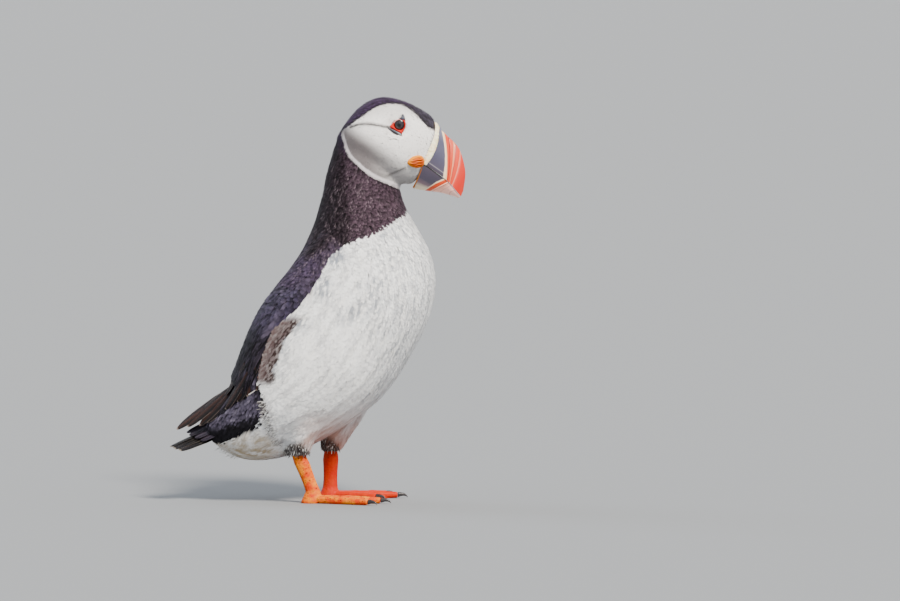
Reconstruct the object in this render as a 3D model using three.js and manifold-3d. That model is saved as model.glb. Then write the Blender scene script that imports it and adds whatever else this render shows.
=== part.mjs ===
// Atlantic puffin at life size, standing upright on both feet and looking ahead.
//
// Units are millimetres. +Z is up, the bird faces +X and its right side is -Y. The soles lie on z = 0,
// and the origin is at the middle of the bird's box, on the floor.
//
// The head and the body are two lofts of upright sections, joined and then parted by thin planes into
// head, neck, trunk and rump. Wings lie on the body's own surface. Everything hard is a separate piece.

import * as THREE from "three";
import { mergeVertices } from "three/addons/utils/BufferGeometryUtils.js";
import Module from "manifold-3d";

const wasm = await Module();
wasm.setup();

// ---------------------------------------------------------------------------------------------
// Driving dimensions
// ---------------------------------------------------------------------------------------------

const BODY_WIDTH = 92; // trunk over the plumage, without the wings
const HEAD_WIDTH = 41; // across the cheeks
const BILL_WIDTH = 18.6; // across the bill's base
const GAP = 0.3; // clearance between neighbouring pieces

const LEG_OFFSET = 19; // from the middle plane to each tarsus
const TARSUS_DEPTH = 8.6; // front to back
const TARSUS_WIDTH = 6.4; // side to side
const SOLE_THICKNESS = 1.3; // of the web between the toes
const ANKLE_HEIGHT = 6.5; // top of the foot's heel pad
const RIGHT_HEEL_X = -1.5; // where each tarsus comes down
const LEFT_HEEL_X = 7;

const EYE_RADIUS = 5; // of the eyeball
const EYE_OPENING = 3.1; // radius of what shows of it
const EYE_X = 47.4;
const EYE_Z = 214.6;

const WING_THICKNESS = 3.2; // of the folded wing's plumage at its middle
const WING_EDGE_THICKNESS = 0.7; // and along its edges
const FEATHER_THICKNESS = 1.1; // of one wing feather
const TAIL_THICKNESS = 1.7; // of one tail feather
const TAIL_FEATHER_WIDTH = 9.5;
const TAIL_SPREAD = 13; // half width of the closed tail at its end

// Sections of the body from the tail's root to inside the head. Each gives the point on the back, the
// point on the belly, both as [x, z], and the half width as a share of half of BODY_WIDTH.
const BODY_SECTIONS = [
  { at: "tail root", back: [-64.7, 46.2], belly: [-59.0, 33.6], half: 0.2 },
  { at: "rump", back: [-59.6, 54.7], belly: [-48.2, 26.4], half: 0.37 },
  { at: "tail coverts", back: [-53.3, 61.6], belly: [-36.8, 23.4], half: 0.53 },
  { at: "vent", back: [-47.6, 72.4], belly: [-20.8, 24.8], half: 0.69 },
  { at: "thighs", back: [-42.6, 86.6], belly: [-6.6, 30.2], half: 0.83 },
  { at: "lower belly", back: [-37.4, 99.2], belly: [8.3, 37.6], half: 0.925 },
  { at: "belly", back: [-31.2, 111.7], belly: [23.1, 47.3], half: 0.98 },
  { at: "waist", back: [-23.8, 122.5], belly: [39.0, 60.4], half: 1 },
  { at: "lower breast", back: [-15.6, 133.2], belly: [53.3, 81.5], half: 0.985 },
  { at: "breast", back: [-9.1, 142.6], belly: [64.1, 103.7], half: 0.94 },
  { at: "upper breast", back: [-4.9, 151.2], belly: [68.1, 122.0], half: 0.865 },
  { at: "shoulders", back: [-1.4, 159.6], belly: [66.4, 137.9], half: 0.76 },
  { at: "collar", back: [0.9, 167.6], belly: [60.1, 151.6], half: 0.645 },
  { at: "neck", back: [3.1, 175.6], belly: [52.7, 164.2], half: 0.54 },
  { at: "throat", back: [4.8, 184.7], belly: [48.7, 174.4], half: 0.475 },
  { at: "nape", back: [7.3, 194.6], belly: [47.2, 183.2], half: 0.435 },
  { at: "inside the head", back: [10.9, 204.4], belly: [45.0, 193.0], half: 0.38 },
];

// Sections of the head from its back to the bill's base, in the same form. The half width is a share of
// half of HEAD_WIDTH, and bow is how far the middle of the section stands forward of its ends.
const HEAD_SECTIONS = [
  { at: "back of the head", back: [11.3, 208.0], belly: [11.7, 200.6], half: 0.24, bow: 0 },
  { at: "behind the cheek", back: [15.7, 214.9], belly: [16.4, 195.4], half: 0.56, bow: 0 },
  { at: "rear cheek", back: [21.9, 222.9], belly: [23.1, 188.3], half: 0.81, bow: 0 },
  { at: "mid cheek", back: [29.4, 228.6], belly: [31.6, 184.6], half: 0.95, bow: 0 },
  { at: "crown", back: [37.3, 231.0], belly: [39.6, 181.9], half: 1, bow: 0 },
  { at: "eyes", back: [45.3, 230.0], belly: [46.0, 181.0], half: 0.97, bow: 0 },
  { at: "brow", back: [52.7, 227.5], belly: [49.6, 180.8], half: 0.87, bow: 0.3 },
  { at: "forehead", back: [59.4, 224.1], belly: [51.8, 180.6], half: 0.74, bow: 0.8 },
  { at: "lores", back: [64.6, 220.4], belly: [53.2, 180.2], half: 0.6, bow: 1.3 },
  { at: "bill base", back: [67.8, 217.0], belly: [54.4, 179.6], half: 0.475, bow: 1.7 },
];

// Lines across the upper bill from its base to its tip. Each gives its end on the mouth line and its
// end on the ridge, and the half width there as a share of half of BILL_WIDTH.
const UPPER_BILL = [
  { at: "base", mouth: [61.2, 193.0], ridge: [68.5, 216.9], half: 1.02 },
  { at: "front of the rim", mouth: [62.2, 192.2], ridge: [70.4, 213.8], half: 1 },
  { at: "front of the plate", mouth: [73.0, 184.4], ridge: [71.2, 211.5], half: 0.76 },
  { at: "pale ridge", mouth: [74.4, 183.0], ridge: [72.6, 210.2], half: 0.75 },
  { at: "first groove", mouth: [75.8, 181.8], ridge: [75.2, 207.6], half: 0.66 },
  { at: "second groove", mouth: [76.8, 180.6], ridge: [78.4, 204.6], half: 0.56 },
  { at: "third groove", mouth: [79.2, 177.6], ridge: [81.9, 199.4], half: 0.43 },
  { at: "hook", mouth: [81.0, 175.4], ridge: [84.7, 188.0], half: 0.27 },
  { at: "tip", mouth: [82.2, 173.9], ridge: [83.6, 177.2], half: 0.12 },
];
const RIM_LINES = 2; // the first two lines bound the fleshy rim at the bill's base

// Lines across the lower bill, from the mouth line down to the gonys.
const LOWER_BILL = [
  { at: "base", mouth: [60.9, 192.5], ridge: [54.7, 179.2], half: 0.98 },
  { at: "front of the edge", mouth: [61.9, 191.7], ridge: [56.0, 178.2], half: 0.95 },
  { at: "front of the plate", mouth: [72.6, 184.0], ridge: [61.3, 177.3], half: 0.74 },
  { at: "pale ridge", mouth: [74.0, 182.6], ridge: [63.6, 177.0], half: 0.72 },
  { at: "first groove", mouth: [75.4, 181.3], ridge: [67.0, 176.6], half: 0.63 },
  { at: "second groove", mouth: [76.4, 180.2], ridge: [70.4, 176.1], half: 0.54 },
  { at: "chin tip", mouth: [78.9, 177.1], ridge: [76.1, 174.6], half: 0.36 },
  { at: "tip", mouth: [81.7, 173.7], ridge: [80.9, 172.9], half: 0.12 },
];

const BODY_ROWS = 28;
const BODY_SIDES = 26;
const HEAD_ROWS = 13;
const HEAD_SIDES = 24;

// ---------------------------------------------------------------------------------------------
// Shape helpers
// ---------------------------------------------------------------------------------------------

const at = (x, y, z) => new THREE.Vector3(x, y, z);
const mix = THREE.MathUtils.lerp;
const steps = (count) => Array.from({ length: count + 1 }, (_, i) => i / count);

// A smooth run through hand-picked values, read at t from 0 to 1.
function smoothRun(values) {
  const curve = new THREE.SplineCurve(values.map((value, i) => new THREE.Vector2(i, value)));
  return (t) => curve.getPoint(t).y;
}

// The share from 0 to 1 at which a test stops being true.
function changeOver(test) {
  let low = 0;
  let high = 1;
  for (let i = 0; i < 30; i++) {
    const middle = (low + high) / 2;
    if (test(middle)) low = middle;
    else high = middle;
  }
  return low;
}

// A smooth line drawn in side view through [x, z] points.
function sideLine(points) {
  return new THREE.SplineCurve(points.map(([x, z]) => new THREE.Vector2(x, z)));
}

// A closed surface over a row of rings with equal numbers of points. Each end is closed by joining its
// first point to its last, its second to its last but one, and so on.
function loft(rings) {
  const sides = rings[0].length;
  const index = [];
  const quad = (a, b, c, d) => index.push(a, b, c, a, c, d);
  for (let row = 0; row < rings.length - 1; row++) {
    for (let side = 0; side < sides; side++) {
      const near = row * sides + side;
      const far = row * sides + ((side + 1) % sides);
      quad(near, far, far + sides, near + sides);
    }
  }
  const last = (rings.length - 1) * sides;
  for (let side = 0; side < sides / 2 - 1; side++) {
    const across = sides - 1 - side;
    quad(side, across, across - 1, side + 1);
    quad(last + side, last + side + 1, last + across - 1, last + across);
  }
  const points = rings.flat();
  const corner = (i) => points[index[i]];
  let volume = 0;
  for (let i = 0; i < index.length; i += 3) {
    volume += corner(i).dot(corner(i + 1).clone().cross(corner(i + 2)));
  }
  if (volume < 0) index.reverse();
  return new THREE.BufferGeometry().setFromPoints(points).setIndex(index);
}

function solid(geometry) {
  const bare = geometry.clone();
  bare.deleteAttribute("normal");
  bare.deleteAttribute("uv");
  const merged = mergeVertices(bare, 1e-4);
  return new wasm.Manifold(
    new wasm.Mesh({
      numProp: 3,
      vertProperties: merged.attributes.position.array,
      triVerts: new Uint32Array(merged.index.array),
    }),
  );
}

const joined = (solids) => solids.reduce((whole, piece) => whole.add(piece));

// The half of space behind a plane in side view that passes through two [x, z] points, moved back by
// half a gap. "Behind" is to the right of the way from the first point to the second.
function behind(from, to) {
  const reach = 500;
  const way = at(to[0] - from[0], 0, to[1] - from[1]).normalize();
  const right = at(way.z, 0, -way.x);
  const middle = at((from[0] + to[0]) / 2, 0, (from[1] + to[1]) / 2);
  const frame = new THREE.Matrix4().makeBasis(right, at(0, 1, 0), at(-right.z, 0, right.x));
  const centre = middle.addScaledVector(right, reach / 2 + GAP / 2);
  return solid(new THREE.BoxGeometry(reach, reach, reach).applyMatrix4(frame.setPosition(centre)));
}

// ---------------------------------------------------------------------------------------------
// Lofts of the head and the body
// ---------------------------------------------------------------------------------------------

// A tube of upright sections. Its point(t, angle, lift) reads the surface: t runs along the sections,
// angle runs from the back (0) over the left side (positive) or right side (negative) to the belly (pi),
// and lift moves the point out of the surface. egg moves the widest place towards the belly.
function tube(sections, width, egg) {
  const run = (pick) => smoothRun(sections.map(pick));
  const backX = run((s) => s.back[0]);
  const backZ = run((s) => s.back[1]);
  const bellyX = run((s) => s.belly[0]);
  const bellyZ = run((s) => s.belly[1]);
  const halfWidth = run((s) => (s.half * width) / 2);
  const bow = run((s) => s.bow ?? 0);

  function point(t, angle, lift = 0) {
    const half = at((backX(t) - bellyX(t)) / 2, 0, (backZ(t) - bellyZ(t)) / 2);
    const up = half.clone().normalize();
    const ahead = at(up.z, 0, -up.x);
    const middle = at((backX(t) + bellyX(t)) / 2, 0, (backZ(t) + bellyZ(t)) / 2);
    const cos = Math.cos(angle);
    const sin = Math.sin(angle);
    return middle
      .addScaledVector(up, (half.length() + lift) * cos)
      .addScaledVector(ahead, bow(t) * sin * sin)
      .add(at(0, (halfWidth(t) + lift) * sin * (1 - egg * cos), 0));
  }

  function ring(t, sides, lift) {
    return steps(sides)
      .slice(0, sides)
      .map((share) => point(t, (share + 0.5 / sides) * 2 * Math.PI, lift));
  }

  // Where a place in side view lies against the section at t: how far ahead of it, and at what angle.
  function place(t, x, z) {
    const up = at(backX(t) - bellyX(t), 0, backZ(t) - bellyZ(t));
    const from = at(x - (backX(t) + bellyX(t)) / 2, 0, z - (backZ(t) + bellyZ(t)) / 2);
    const cos = THREE.MathUtils.clamp((2 * from.dot(up)) / up.lengthSq(), -1, 1);
    return { ahead: from.x * up.z - from.z * up.x, angle: Math.acos(cos) };
  }

  // The surface point and outward normal at a place in side view, found along the sections.
  function onSide(x, z, side) {
    const t = changeOver((share) => place(share, x, z).ahead > 0);
    const angle = side * place(t, x, z).angle;
    const small = 0.01;
    const along = point(t + small, angle).sub(point(t - small, angle));
    const round = point(t, angle + small).sub(point(t, angle - small));
    const normal = along.cross(round).normalize();
    if (normal.y * side < 0) normal.negate();
    return { point: point(t, angle), normal };
  }

  // The angle at which a line drawn in side view crosses the section at t.
  function crossing(line, t) {
    const share = changeOver((s) => place(t, line.getPoint(s).x, line.getPoint(s).y).ahead > 0);
    const { x, y } = line.getPoint(share);
    return place(t, x, y).angle;
  }

  const rings = (rows, sides, lift) => steps(rows).map((t) => ring(t, sides, lift));
  const made = (rows, sides, lift = 0) => solid(loft(rings(rows, sides, lift)));
  return { point, onSide, crossing, made };
}

const body = tube(BODY_SECTIONS, BODY_WIDTH, 0.06);
const head = tube(HEAD_SECTIONS, HEAD_WIDTH, 0.1);

const bodySolid = body.made(BODY_ROWS, BODY_SIDES);
const headSolid = head.made(HEAD_ROWS, HEAD_SIDES);
const clearOfBody = body.made(BODY_ROWS, BODY_SIDES, GAP);
const clearOfHead = head.made(HEAD_ROWS, HEAD_SIDES, GAP);

// ---------------------------------------------------------------------------------------------
// Materials
// ---------------------------------------------------------------------------------------------

const material = (color, roughness) => new THREE.MeshStandardMaterial({ color, roughness, metalness: 0 });
const FINISH = {
  face: material(0xcfcdcc, 0.85),
  dark: material(0x2b262c, 0.75),
  wing: material(0x242127, 0.65),
  white: material(0xe9eaeb, 0.85),
  rump: material(0x77737a, 0.8),
  red: material(0xe8562c, 0.4),
  ivory: material(0xe6dcbc, 0.55),
  rosette: material(0xf5a30f, 0.6),
  eye: material(0x2a1c18, 0.08),
  lid: material(0xd8301c, 0.5),
  slate: material(0x5d626f, 0.5),
  leg: material(0xe8590f, 0.5),
  claw: material(0x17151a, 0.35),
};

const puffin = new THREE.Group();

function add(name, shape, finish) {
  const { vertProperties, triVerts, numProp } = shape.getMesh();
  const positions = new Float32Array((vertProperties.length / numProp) * 3);
  for (let i = 0; i < positions.length / 3; i++) {
    positions.set(vertProperties.subarray(i * numProp, i * numProp + 3), i * 3);
  }
  const geometry = new THREE.BufferGeometry()
    .setAttribute("position", new THREE.BufferAttribute(positions, 3))
    .setIndex(new THREE.BufferAttribute(triVerts, 1));
  geometry.computeVertexNormals();
  const mesh = new THREE.Mesh(geometry, FINISH[finish]);
  mesh.name = name;
  puffin.add(mesh);
}

// ---------------------------------------------------------------------------------------------
// Eyes: an eyeball in its socket, a fleshy ring round it, and two small horny plates
// ---------------------------------------------------------------------------------------------

// A frame on the cheek at a place in side view: z points out of the head, y up and x forward.
function cheekFrame(x, z, side, depth = 0) {
  const { point, normal } = head.onSide(x, z, side);
  const up = at(0, 0, 1).addScaledVector(normal, -normal.z).normalize();
  const frame = new THREE.Matrix4().makeBasis(up.clone().cross(normal), up, normal);
  return frame.setPosition(point.addScaledVector(normal, -depth));
}

function eyeball(side, spare = 0) {
  const depth = Math.sqrt(EYE_RADIUS ** 2 - EYE_OPENING ** 2);
  const ball = new THREE.SphereGeometry(EYE_RADIUS + spare, 14, 8);
  return solid(ball.applyMatrix4(cheekFrame(EYE_X, EYE_Z, side, depth)));
}

// A flat piece lying on the cheek round the eye. Its outline has [forward, up] points from the eye's
// middle, and height is how far it stands above the skin.
function onCheek(side, outline, height) {
  const forward = side < 0 ? 1 : -1;
  const shape = new THREE.Shape(outline.map(([x, y]) => new THREE.Vector2(x * forward, y)));
  const depth = 3;
  const plate = new THREE.ExtrudeGeometry(shape, { depth, bevelEnabled: false });
  plate.translate(0, 0, height - depth);
  return solid(plate.applyMatrix4(cheekFrame(EYE_X, EYE_Z, side))).subtract(clearOfHead);
}

const RING_HEIGHT = 0.75; // of the ring above the skin
const PLATE_HEIGHT = 1.1; // of the horny plates above the skin
const RING_OUTLINE = [
  [-4.6, -1.0],
  [-3.7, 1.3],
  [-2.2, 3.1],
  [0.2, 3.75],
  [3.0, 3.35],
  [3.8, 1.6],
  [3.9, -0.8],
  [3.1, -3.0],
  [1.8, -4.5],
  [-0.6, -3.8],
  [-3.0, -2.4],
];
const UPPER_PLATE = [
  [1.2, 3.9],
  [3.1, 3.7],
  [2.8, 5.0],
  [2.3, 6.3],
  [1.7, 5.1],
];
const LOWER_PLATE = [
  [-5.2, -1.5],
  [-4.4, -1.9],
  [-2.6, -3.0],
  [-0.8, -4.1],
  [1.6, -4.9],
  [1.1, -5.9],
  [-2.0, -4.6],
  [-4.6, -2.9],
];

function orbitalRing(side) {
  return onCheek(side, RING_OUTLINE, RING_HEIGHT).subtract(eyeball(side, GAP));
}

// ---------------------------------------------------------------------------------------------
// Bill: a fleshy rim, the two mandibles, and a rosette at each corner of the mouth
// ---------------------------------------------------------------------------------------------

const UPPER_BOW = 1.9; // how far the lines across the upper bill stand forward at their middle
const LOWER_BOW = 0.4; // and across the lower bill
const RIDGE_WIDTH = 0.09; // half width left at the ridge, as a share
const RIM_SWELL = 0.45; // how far the fleshy rim stands out at each side of the bill
const RIM_SLIT = 0.012; // share of the bill's length left open on each side of the rim's front
const ROSETTE_AT = [55.8, 194.3];

// Rings across a mandible. from and to are shares of its length.
function mandible(lines, bow, rows, from = 0, to = 1, swell = 0) {
  const run = (pick) => smoothRun(lines.map(pick));
  const mouthX = run((s) => s.mouth[0]);
  const mouthZ = run((s) => s.mouth[1]);
  const ridgeX = run((s) => s.ridge[0]);
  const ridgeZ = run((s) => s.ridge[1]);
  const halfWidth = run((s) => (s.half * BILL_WIDTH) / 2);
  const flank = steps(6);
  const rings = steps(rows).map((share) => {
    const t = mix(from, to, share);
    const across = at(ridgeX(t) - mouthX(t), 0, ridgeZ(t) - mouthZ(t));
    const ahead = at(Math.abs(across.z), 0, -across.x * Math.sign(across.z)).normalize();
    const place = (v, side) => {
      const width = halfWidth(t) * Math.max(Math.cos((v * Math.PI) / 2) ** 0.7, RIDGE_WIDTH) + swell;
      const bulge = bow * (1 - t) * 4 * v * (1 - v);
      return at(mouthX(t), side * width, mouthZ(t))
        .addScaledVector(across, v)
        .addScaledVector(ahead, bulge);
    };
    return [...flank.map((v) => place(v, 1)), ...flank.map((v) => place(1 - v, -1))];
  });
  return solid(loft(rings));
}

function rosette(side) {
  const pad = new THREE.SphereGeometry(1, 14, 8).scale(5.4, 4.1, 2.6).rotateZ(side < 0 ? 0.12 : -0.12);
  return solid(pad.applyMatrix4(cheekFrame(...ROSETTE_AT, side, -0.4)));
}

function buildBill() {
  const rimEnd = (RIM_LINES - 1) / (UPPER_BILL.length - 1);
  const rim = mandible(UPPER_BILL, UPPER_BOW, 3, 0, rimEnd - RIM_SLIT, RIM_SWELL);
  const upper = mandible(UPPER_BILL, UPPER_BOW, 14, rimEnd + RIM_SLIT, 1);
  const lower = mandible(LOWER_BILL, LOWER_BOW, 10);
  const pads = [rosette(-1), rosette(1)];
  const cleared = (piece) => largest(piece.subtract(clearOfHead).subtract(joined(pads)));
  add("bill_rim", cleared(rim), "ivory");
  add("bill_upper", cleared(upper), "red");
  add("bill_lower", cleared(lower), "red");
  add("rosette_right", largest(pads[0].subtract(clearOfHead)), "rosette");
  add("rosette_left", largest(pads[1].subtract(clearOfHead)), "rosette");
}

function largest(shape) {
  return shape.decompose().reduce((best, piece) => (piece.volume() > best.volume() ? piece : best));
}

// ---------------------------------------------------------------------------------------------
// Wings: folded plumage that lies on the body's surface, and the long feathers that pass the rump
// ---------------------------------------------------------------------------------------------

const WING_FROM = 0.66; // at the shoulder, as a share of the body's sections
const WING_TO = 0.165; // where the long feathers leave the body
const WING_BACK_EDGE = smoothRun([0.62, 0.36, 0.25, 0.18, 0.13, 0.1]); // angles from the back
const WING_FRONT_EDGE = sideLine([
  [11.0, 150.0],
  [9.0, 144.0],
  [2.0, 129.4],
  [-3.7, 119.4],
  [-11.5, 110.9],
  [-19.4, 104.0],
  [-25.1, 95.2],
  [-29.4, 83.8],
  [-31.6, 73.8],
  [-33.6, 66.6],
  [-38.0, 62.2],
  [-46.0, 57.6],
]);
const WING_TIP = at(-79.8, 6.5, 41.8);
const BLADE_EDGES = { upper: [-64.6, 55.2], lower: [-60.4, 47.0] }; // of the long feathers past the rump

// One ring of the folded wing: the outer face from the back edge to the front edge, then the inner face
// the other way. share runs from the shoulder to where the long feathers start.
function wingRing(share, side) {
  const t = mix(WING_FROM, WING_TO, share);
  const across = steps(6);
  const thick = WING_THICKNESS * Math.min(1, 0.35 + share * 4);
  const angle = (r) => side * mix(WING_BACK_EDGE(share), body.crossing(WING_FRONT_EDGE, t), r);
  const swell = (r) => mix(WING_EDGE_THICKNESS, thick, Math.sin(Math.PI * r) ** 0.6);
  const outer = across.map((r) => body.point(t, angle(r), 2 * GAP + swell(r)));
  const inner = across.map((r) => body.point(t, angle(1 - r), 2 * GAP));
  return [...outer, ...inner];
}

function foldedWing(side) {
  return solid(loft(steps(13).map((share) => wingRing(share * 0.985, side))));
}

// The long feathers: from the wing's last ring they narrow to a blade that clears the rump and ends in
// the wing's tip.
function longFeathers(side) {
  const root = wingRing(1, side);
  const count = root.length;
  const bladeRing = (reach) => {
    const narrow = Math.sqrt(Math.max(1 - reach ** 2.2, 0.012));
    const upper = at(BLADE_EDGES.upper[0], 1.2, BLADE_EDGES.upper[1]);
    const lower = at(BLADE_EDGES.lower[0], 13.5, BLADE_EDGES.lower[1]);
    const middle = upper.clone().add(lower).multiplyScalar(0.5).lerp(WING_TIP, reach);
    const half = upper.clone().sub(lower).multiplyScalar(0.5 * narrow);
    return root.map((_, i) => {
      const outside = i < count / 2;
      const r = outside ? i / (count / 2 - 1) : (count - 1 - i) / (count / 2 - 1);
      const thick = (outside ? 1 : -1) * FEATHER_THICKNESS * (0.45 + 0.55 * Math.sin(Math.PI * r)) * narrow;
      const place = middle.clone().addScaledVector(half, 1 - 2 * r);
      return place.add(at(-0.25 * thick, 0.75 * thick, 0.6 * thick)).multiply(at(1, side, 1));
    });
  };
  const first = bladeRing(0);
  const between = (share) => root.map((p, i) => p.clone().lerp(first[i], share));
  const rings = [
    ...[0, 0.35, 0.7].map(between),
    ...steps(6).map((share) => bladeRing(share)),
  ];
  return largest(solid(loft(rings)).subtract(clearOfBody));
}

// ---------------------------------------------------------------------------------------------
// Tail: a closed fan of flat feathers, the middle ones on top
// ---------------------------------------------------------------------------------------------

const TAIL_ROOT = at(-57, 0, 41.5);
const TAIL_END = at(-84.2, 0, 31.6);
const TAIL_PAIRS = 3;
const ROUND_FROM = 0.75; // share of a feather's length where its rounded end starts

// A flat feather from root to tip with a rounded end.
function feather(root, tip, width, thickness) {
  const way = tip.clone().sub(root);
  const sideways = at(0, 1, 0).cross(way).cross(way).normalize().negate();
  const up = way.clone().cross(sideways).normalize();
  const corners = 6;
  const rings = [0, 0.5, 0.8, 0.93, 1].map((share) => {
    const past = (share - ROUND_FROM) / (1 - ROUND_FROM);
    const round = past < 0 ? 0.8 + 0.27 * share : Math.sqrt(Math.max(1 - past ** 2, 0.04));
    const middle = root.clone().addScaledVector(way, share);
    return steps(corners)
      .slice(0, corners)
      .map((turn) => {
        const angle = (turn + 0.5 / corners) * 2 * Math.PI;
        return middle
          .clone()
          .addScaledVector(sideways, (Math.cos(angle) * width * round) / 2)
          .addScaledVector(up, (Math.sin(angle) * thickness * Math.max(round, 0.5)) / 2);
      });
  });
  return solid(loft(rings));
}

function buildTail() {
  const feathers = [feather(TAIL_ROOT, TAIL_END, TAIL_FEATHER_WIDTH + 0.5, TAIL_THICKNESS)];
  for (let pair = 1; pair <= TAIL_PAIRS; pair++) {
    const share = pair / TAIL_PAIRS;
    for (const side of [-1, 1]) {
      const root = TAIL_ROOT.clone().add(at(0, side * share * 7, -3 * share * share));
      const end = TAIL_END.clone().add(at(4 * share * share, side * share * TAIL_SPREAD, -1.6 * share));
      feathers.push(feather(root, end, TAIL_FEATHER_WIDTH, TAIL_THICKNESS));
    }
  }
  add("tail", largest(joined(feathers).subtract(clearOfBody)), "wing");
}

// ---------------------------------------------------------------------------------------------
// Legs: feathered thighs, bare tarsi, webbed feet with three toes each, and a claw on each toe
// ---------------------------------------------------------------------------------------------

// Rings of an ellipse: middle, half depth along X and half width along Y.
function column(stations, sides) {
  const run = (pick) => smoothRun(stations.map(pick));
  const [x, y, z, depth, width] = [0, 1, 2, 3, 4].map((i) => run((s) => s[i]));
  const rings = steps(stations.length + 2).map((t) =>
    steps(sides)
      .slice(0, sides)
      .map((turn) => {
        const angle = (turn + 0.5 / sides) * 2 * Math.PI;
        return at(x(t) + depth(t) * Math.cos(angle), y(t) + width(t) * Math.sin(angle), z(t));
      }),
  );
  return solid(loft(rings));
}

// Middle x of each leg where it leaves the plumage.
const HOCK_X = { right: -9.6, left: 7.4 };
const HOCK_Z = 27.5;
const THIGH_SIDES = 16;
const LEG_SIDES = 12;

function buildThigh(name, side) {
  const x = HOCK_X[name];
  const y = side * LEG_OFFSET;
  const forward = name === "left" ? 4 : 0;
  const shape = column(
    [
      [x + 7 + forward, y * 1.15, 78, 11, 9],
      [x + 5.5 + forward, y * 1.4, 66, 15.5, 13],
      [x + 4 + forward, y * 1.32, 54, 15, 12.5],
      [x + 2.2 + forward * 0.7, y * 1.16, 43, 11.8, 10.5],
      [x + 0.6 + forward * 0.4, y * 1.05, 34.5, 8.2, 8.4],
      [x, y, HOCK_Z, 5.6, 5.4],
    ],
    THIGH_SIDES,
  );
  add("thigh_" + name, largest(shape.subtract(clearOfBody)), "white");
}

function buildTarsus(name, side) {
  const heelX = name === "right" ? RIGHT_HEEL_X : LEFT_HEEL_X;
  const y = side * LEG_OFFSET;
  const depth = TARSUS_DEPTH / 2;
  const width = TARSUS_WIDTH / 2;
  const top = HOCK_Z - GAP;
  const low = ANKLE_HEIGHT + GAP;
  const station = (share, fullness) => [
    mix(HOCK_X[name], heelX, share),
    y,
    mix(top, low, share),
    depth * fullness,
    width * fullness,
  ];
  const stations = [
    station(0, 0.86),
    station(0.2, 1.04),
    station(0.5, 0.95),
    station(0.8, 0.92),
    station(1, 1),
  ];
  add("tarsus_" + name, column(stations, LEG_SIDES), "leg");
}

// Toes by name: length from the heel to the claw's root, and angle from straight ahead, outwards.
const TOES = [
  { name: "inner", length: 28, angle: -20, root: 1.9 },
  { name: "middle", length: 38.5, angle: 6, root: 2.1 },
  { name: "outer", length: 36.5, angle: 30, root: 1.9 },
];
const TOE_HEIGHT = 2.1; // of a toe's middle line above the floor
const TOE_SIDES = 8;
const TOE_JOINTS = [0.45, 0.75]; // shares of a toe's length
const JOINT_SWELL = 0.28; // how far a joint stands out of the toe
const CLAW_LENGTH = 6.2;
const CLAW_SIDES = 6;

function toeWay(toe, side) {
  const angle = THREE.MathUtils.degToRad(toe.angle);
  return at(Math.cos(angle), side * Math.sin(angle), 0);
}

// A toe as a row of rings with two swollen joints.
function toeSolid(toe, side, heel) {
  const way = toeWay(toe, side);
  const sideways = at(-way.y, way.x, 0);
  const rings = [0, 0.36, 0.45, 0.54, 0.66, 0.75, 0.84, 1].map((share) => {
    const swells = TOE_JOINTS.map((joint) => JOINT_SWELL * Math.exp(-(((share - joint) / 0.07) ** 2)));
    const plain = mix(toe.root + 0.7, toe.root, Math.min(1, share * 1.6)) - 0.35 * share ** 6;
    const radius = plain + swells[0] + swells[1];
    const middle = heel.clone().addScaledVector(way, toe.length * share).setZ(TOE_HEIGHT - 0.2 * share);
    return steps(TOE_SIDES)
      .slice(0, TOE_SIDES)
      .map((turn) => {
        const angle = (turn + 0.5 / TOE_SIDES) * 2 * Math.PI;
        return middle
          .clone()
          .addScaledVector(sideways, Math.cos(angle) * radius)
          .add(at(0, 0, Math.sin(angle) * radius));
      });
  });
  return solid(loft(rings));
}

// The web: straight along the outer edges and hollow between the toes' ends.
function webSolid(side, heel) {
  const end = (toe, share) => heel.clone().addScaledVector(toeWay(toe, side), toe.length * share);
  const [inner, middle, outer] = TOES;
  const flat = (p) => new THREE.Vector2(p.x, p.y);
  const hollow = (a, b) => flat(end(a, 0.95).lerp(end(b, 0.95), 0.5).lerp(heel, 0.22));
  const shape = new THREE.Shape();
  shape.moveTo(heel.x - 1, heel.y);
  shape.lineTo(...flat(end(inner, 0.96)).toArray());
  shape.quadraticCurveTo(...hollow(inner, middle).toArray(), ...flat(end(middle, 0.93)).toArray());
  shape.quadraticCurveTo(...hollow(middle, outer).toArray(), ...flat(end(outer, 0.96)).toArray());
  shape.closePath();
  const web = { depth: SOLE_THICKNESS, bevelEnabled: false, curveSegments: 5 };
  return solid(new THREE.ExtrudeGeometry(shape, web));
}

function clawSolid(toe, side, heel) {
  const way = toeWay(toe, side);
  const sideways = at(-way.y, way.x, 0);
  const root = heel.clone().addScaledVector(way, toe.length + GAP);
  const rings = steps(4).map((share) => {
    const radius = mix(1.45, 0.35, share ** 0.9);
    const middle = root
      .clone()
      .addScaledVector(way, CLAW_LENGTH * Math.sin(share * 1.25) * 0.98)
      .setZ(1.9 + 0.55 * Math.sin(Math.PI * share) - 1.25 * share * share);
    return steps(CLAW_SIDES)
      .slice(0, CLAW_SIDES)
      .map((turn) => {
        const angle = (turn + 0.5 / CLAW_SIDES) * 2 * Math.PI;
        return middle
          .clone()
          .addScaledVector(sideways, Math.cos(angle) * radius * 0.75)
          .add(at(0, 0, Math.sin(angle) * radius));
      });
  });
  return solid(loft(rings));
}

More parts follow.
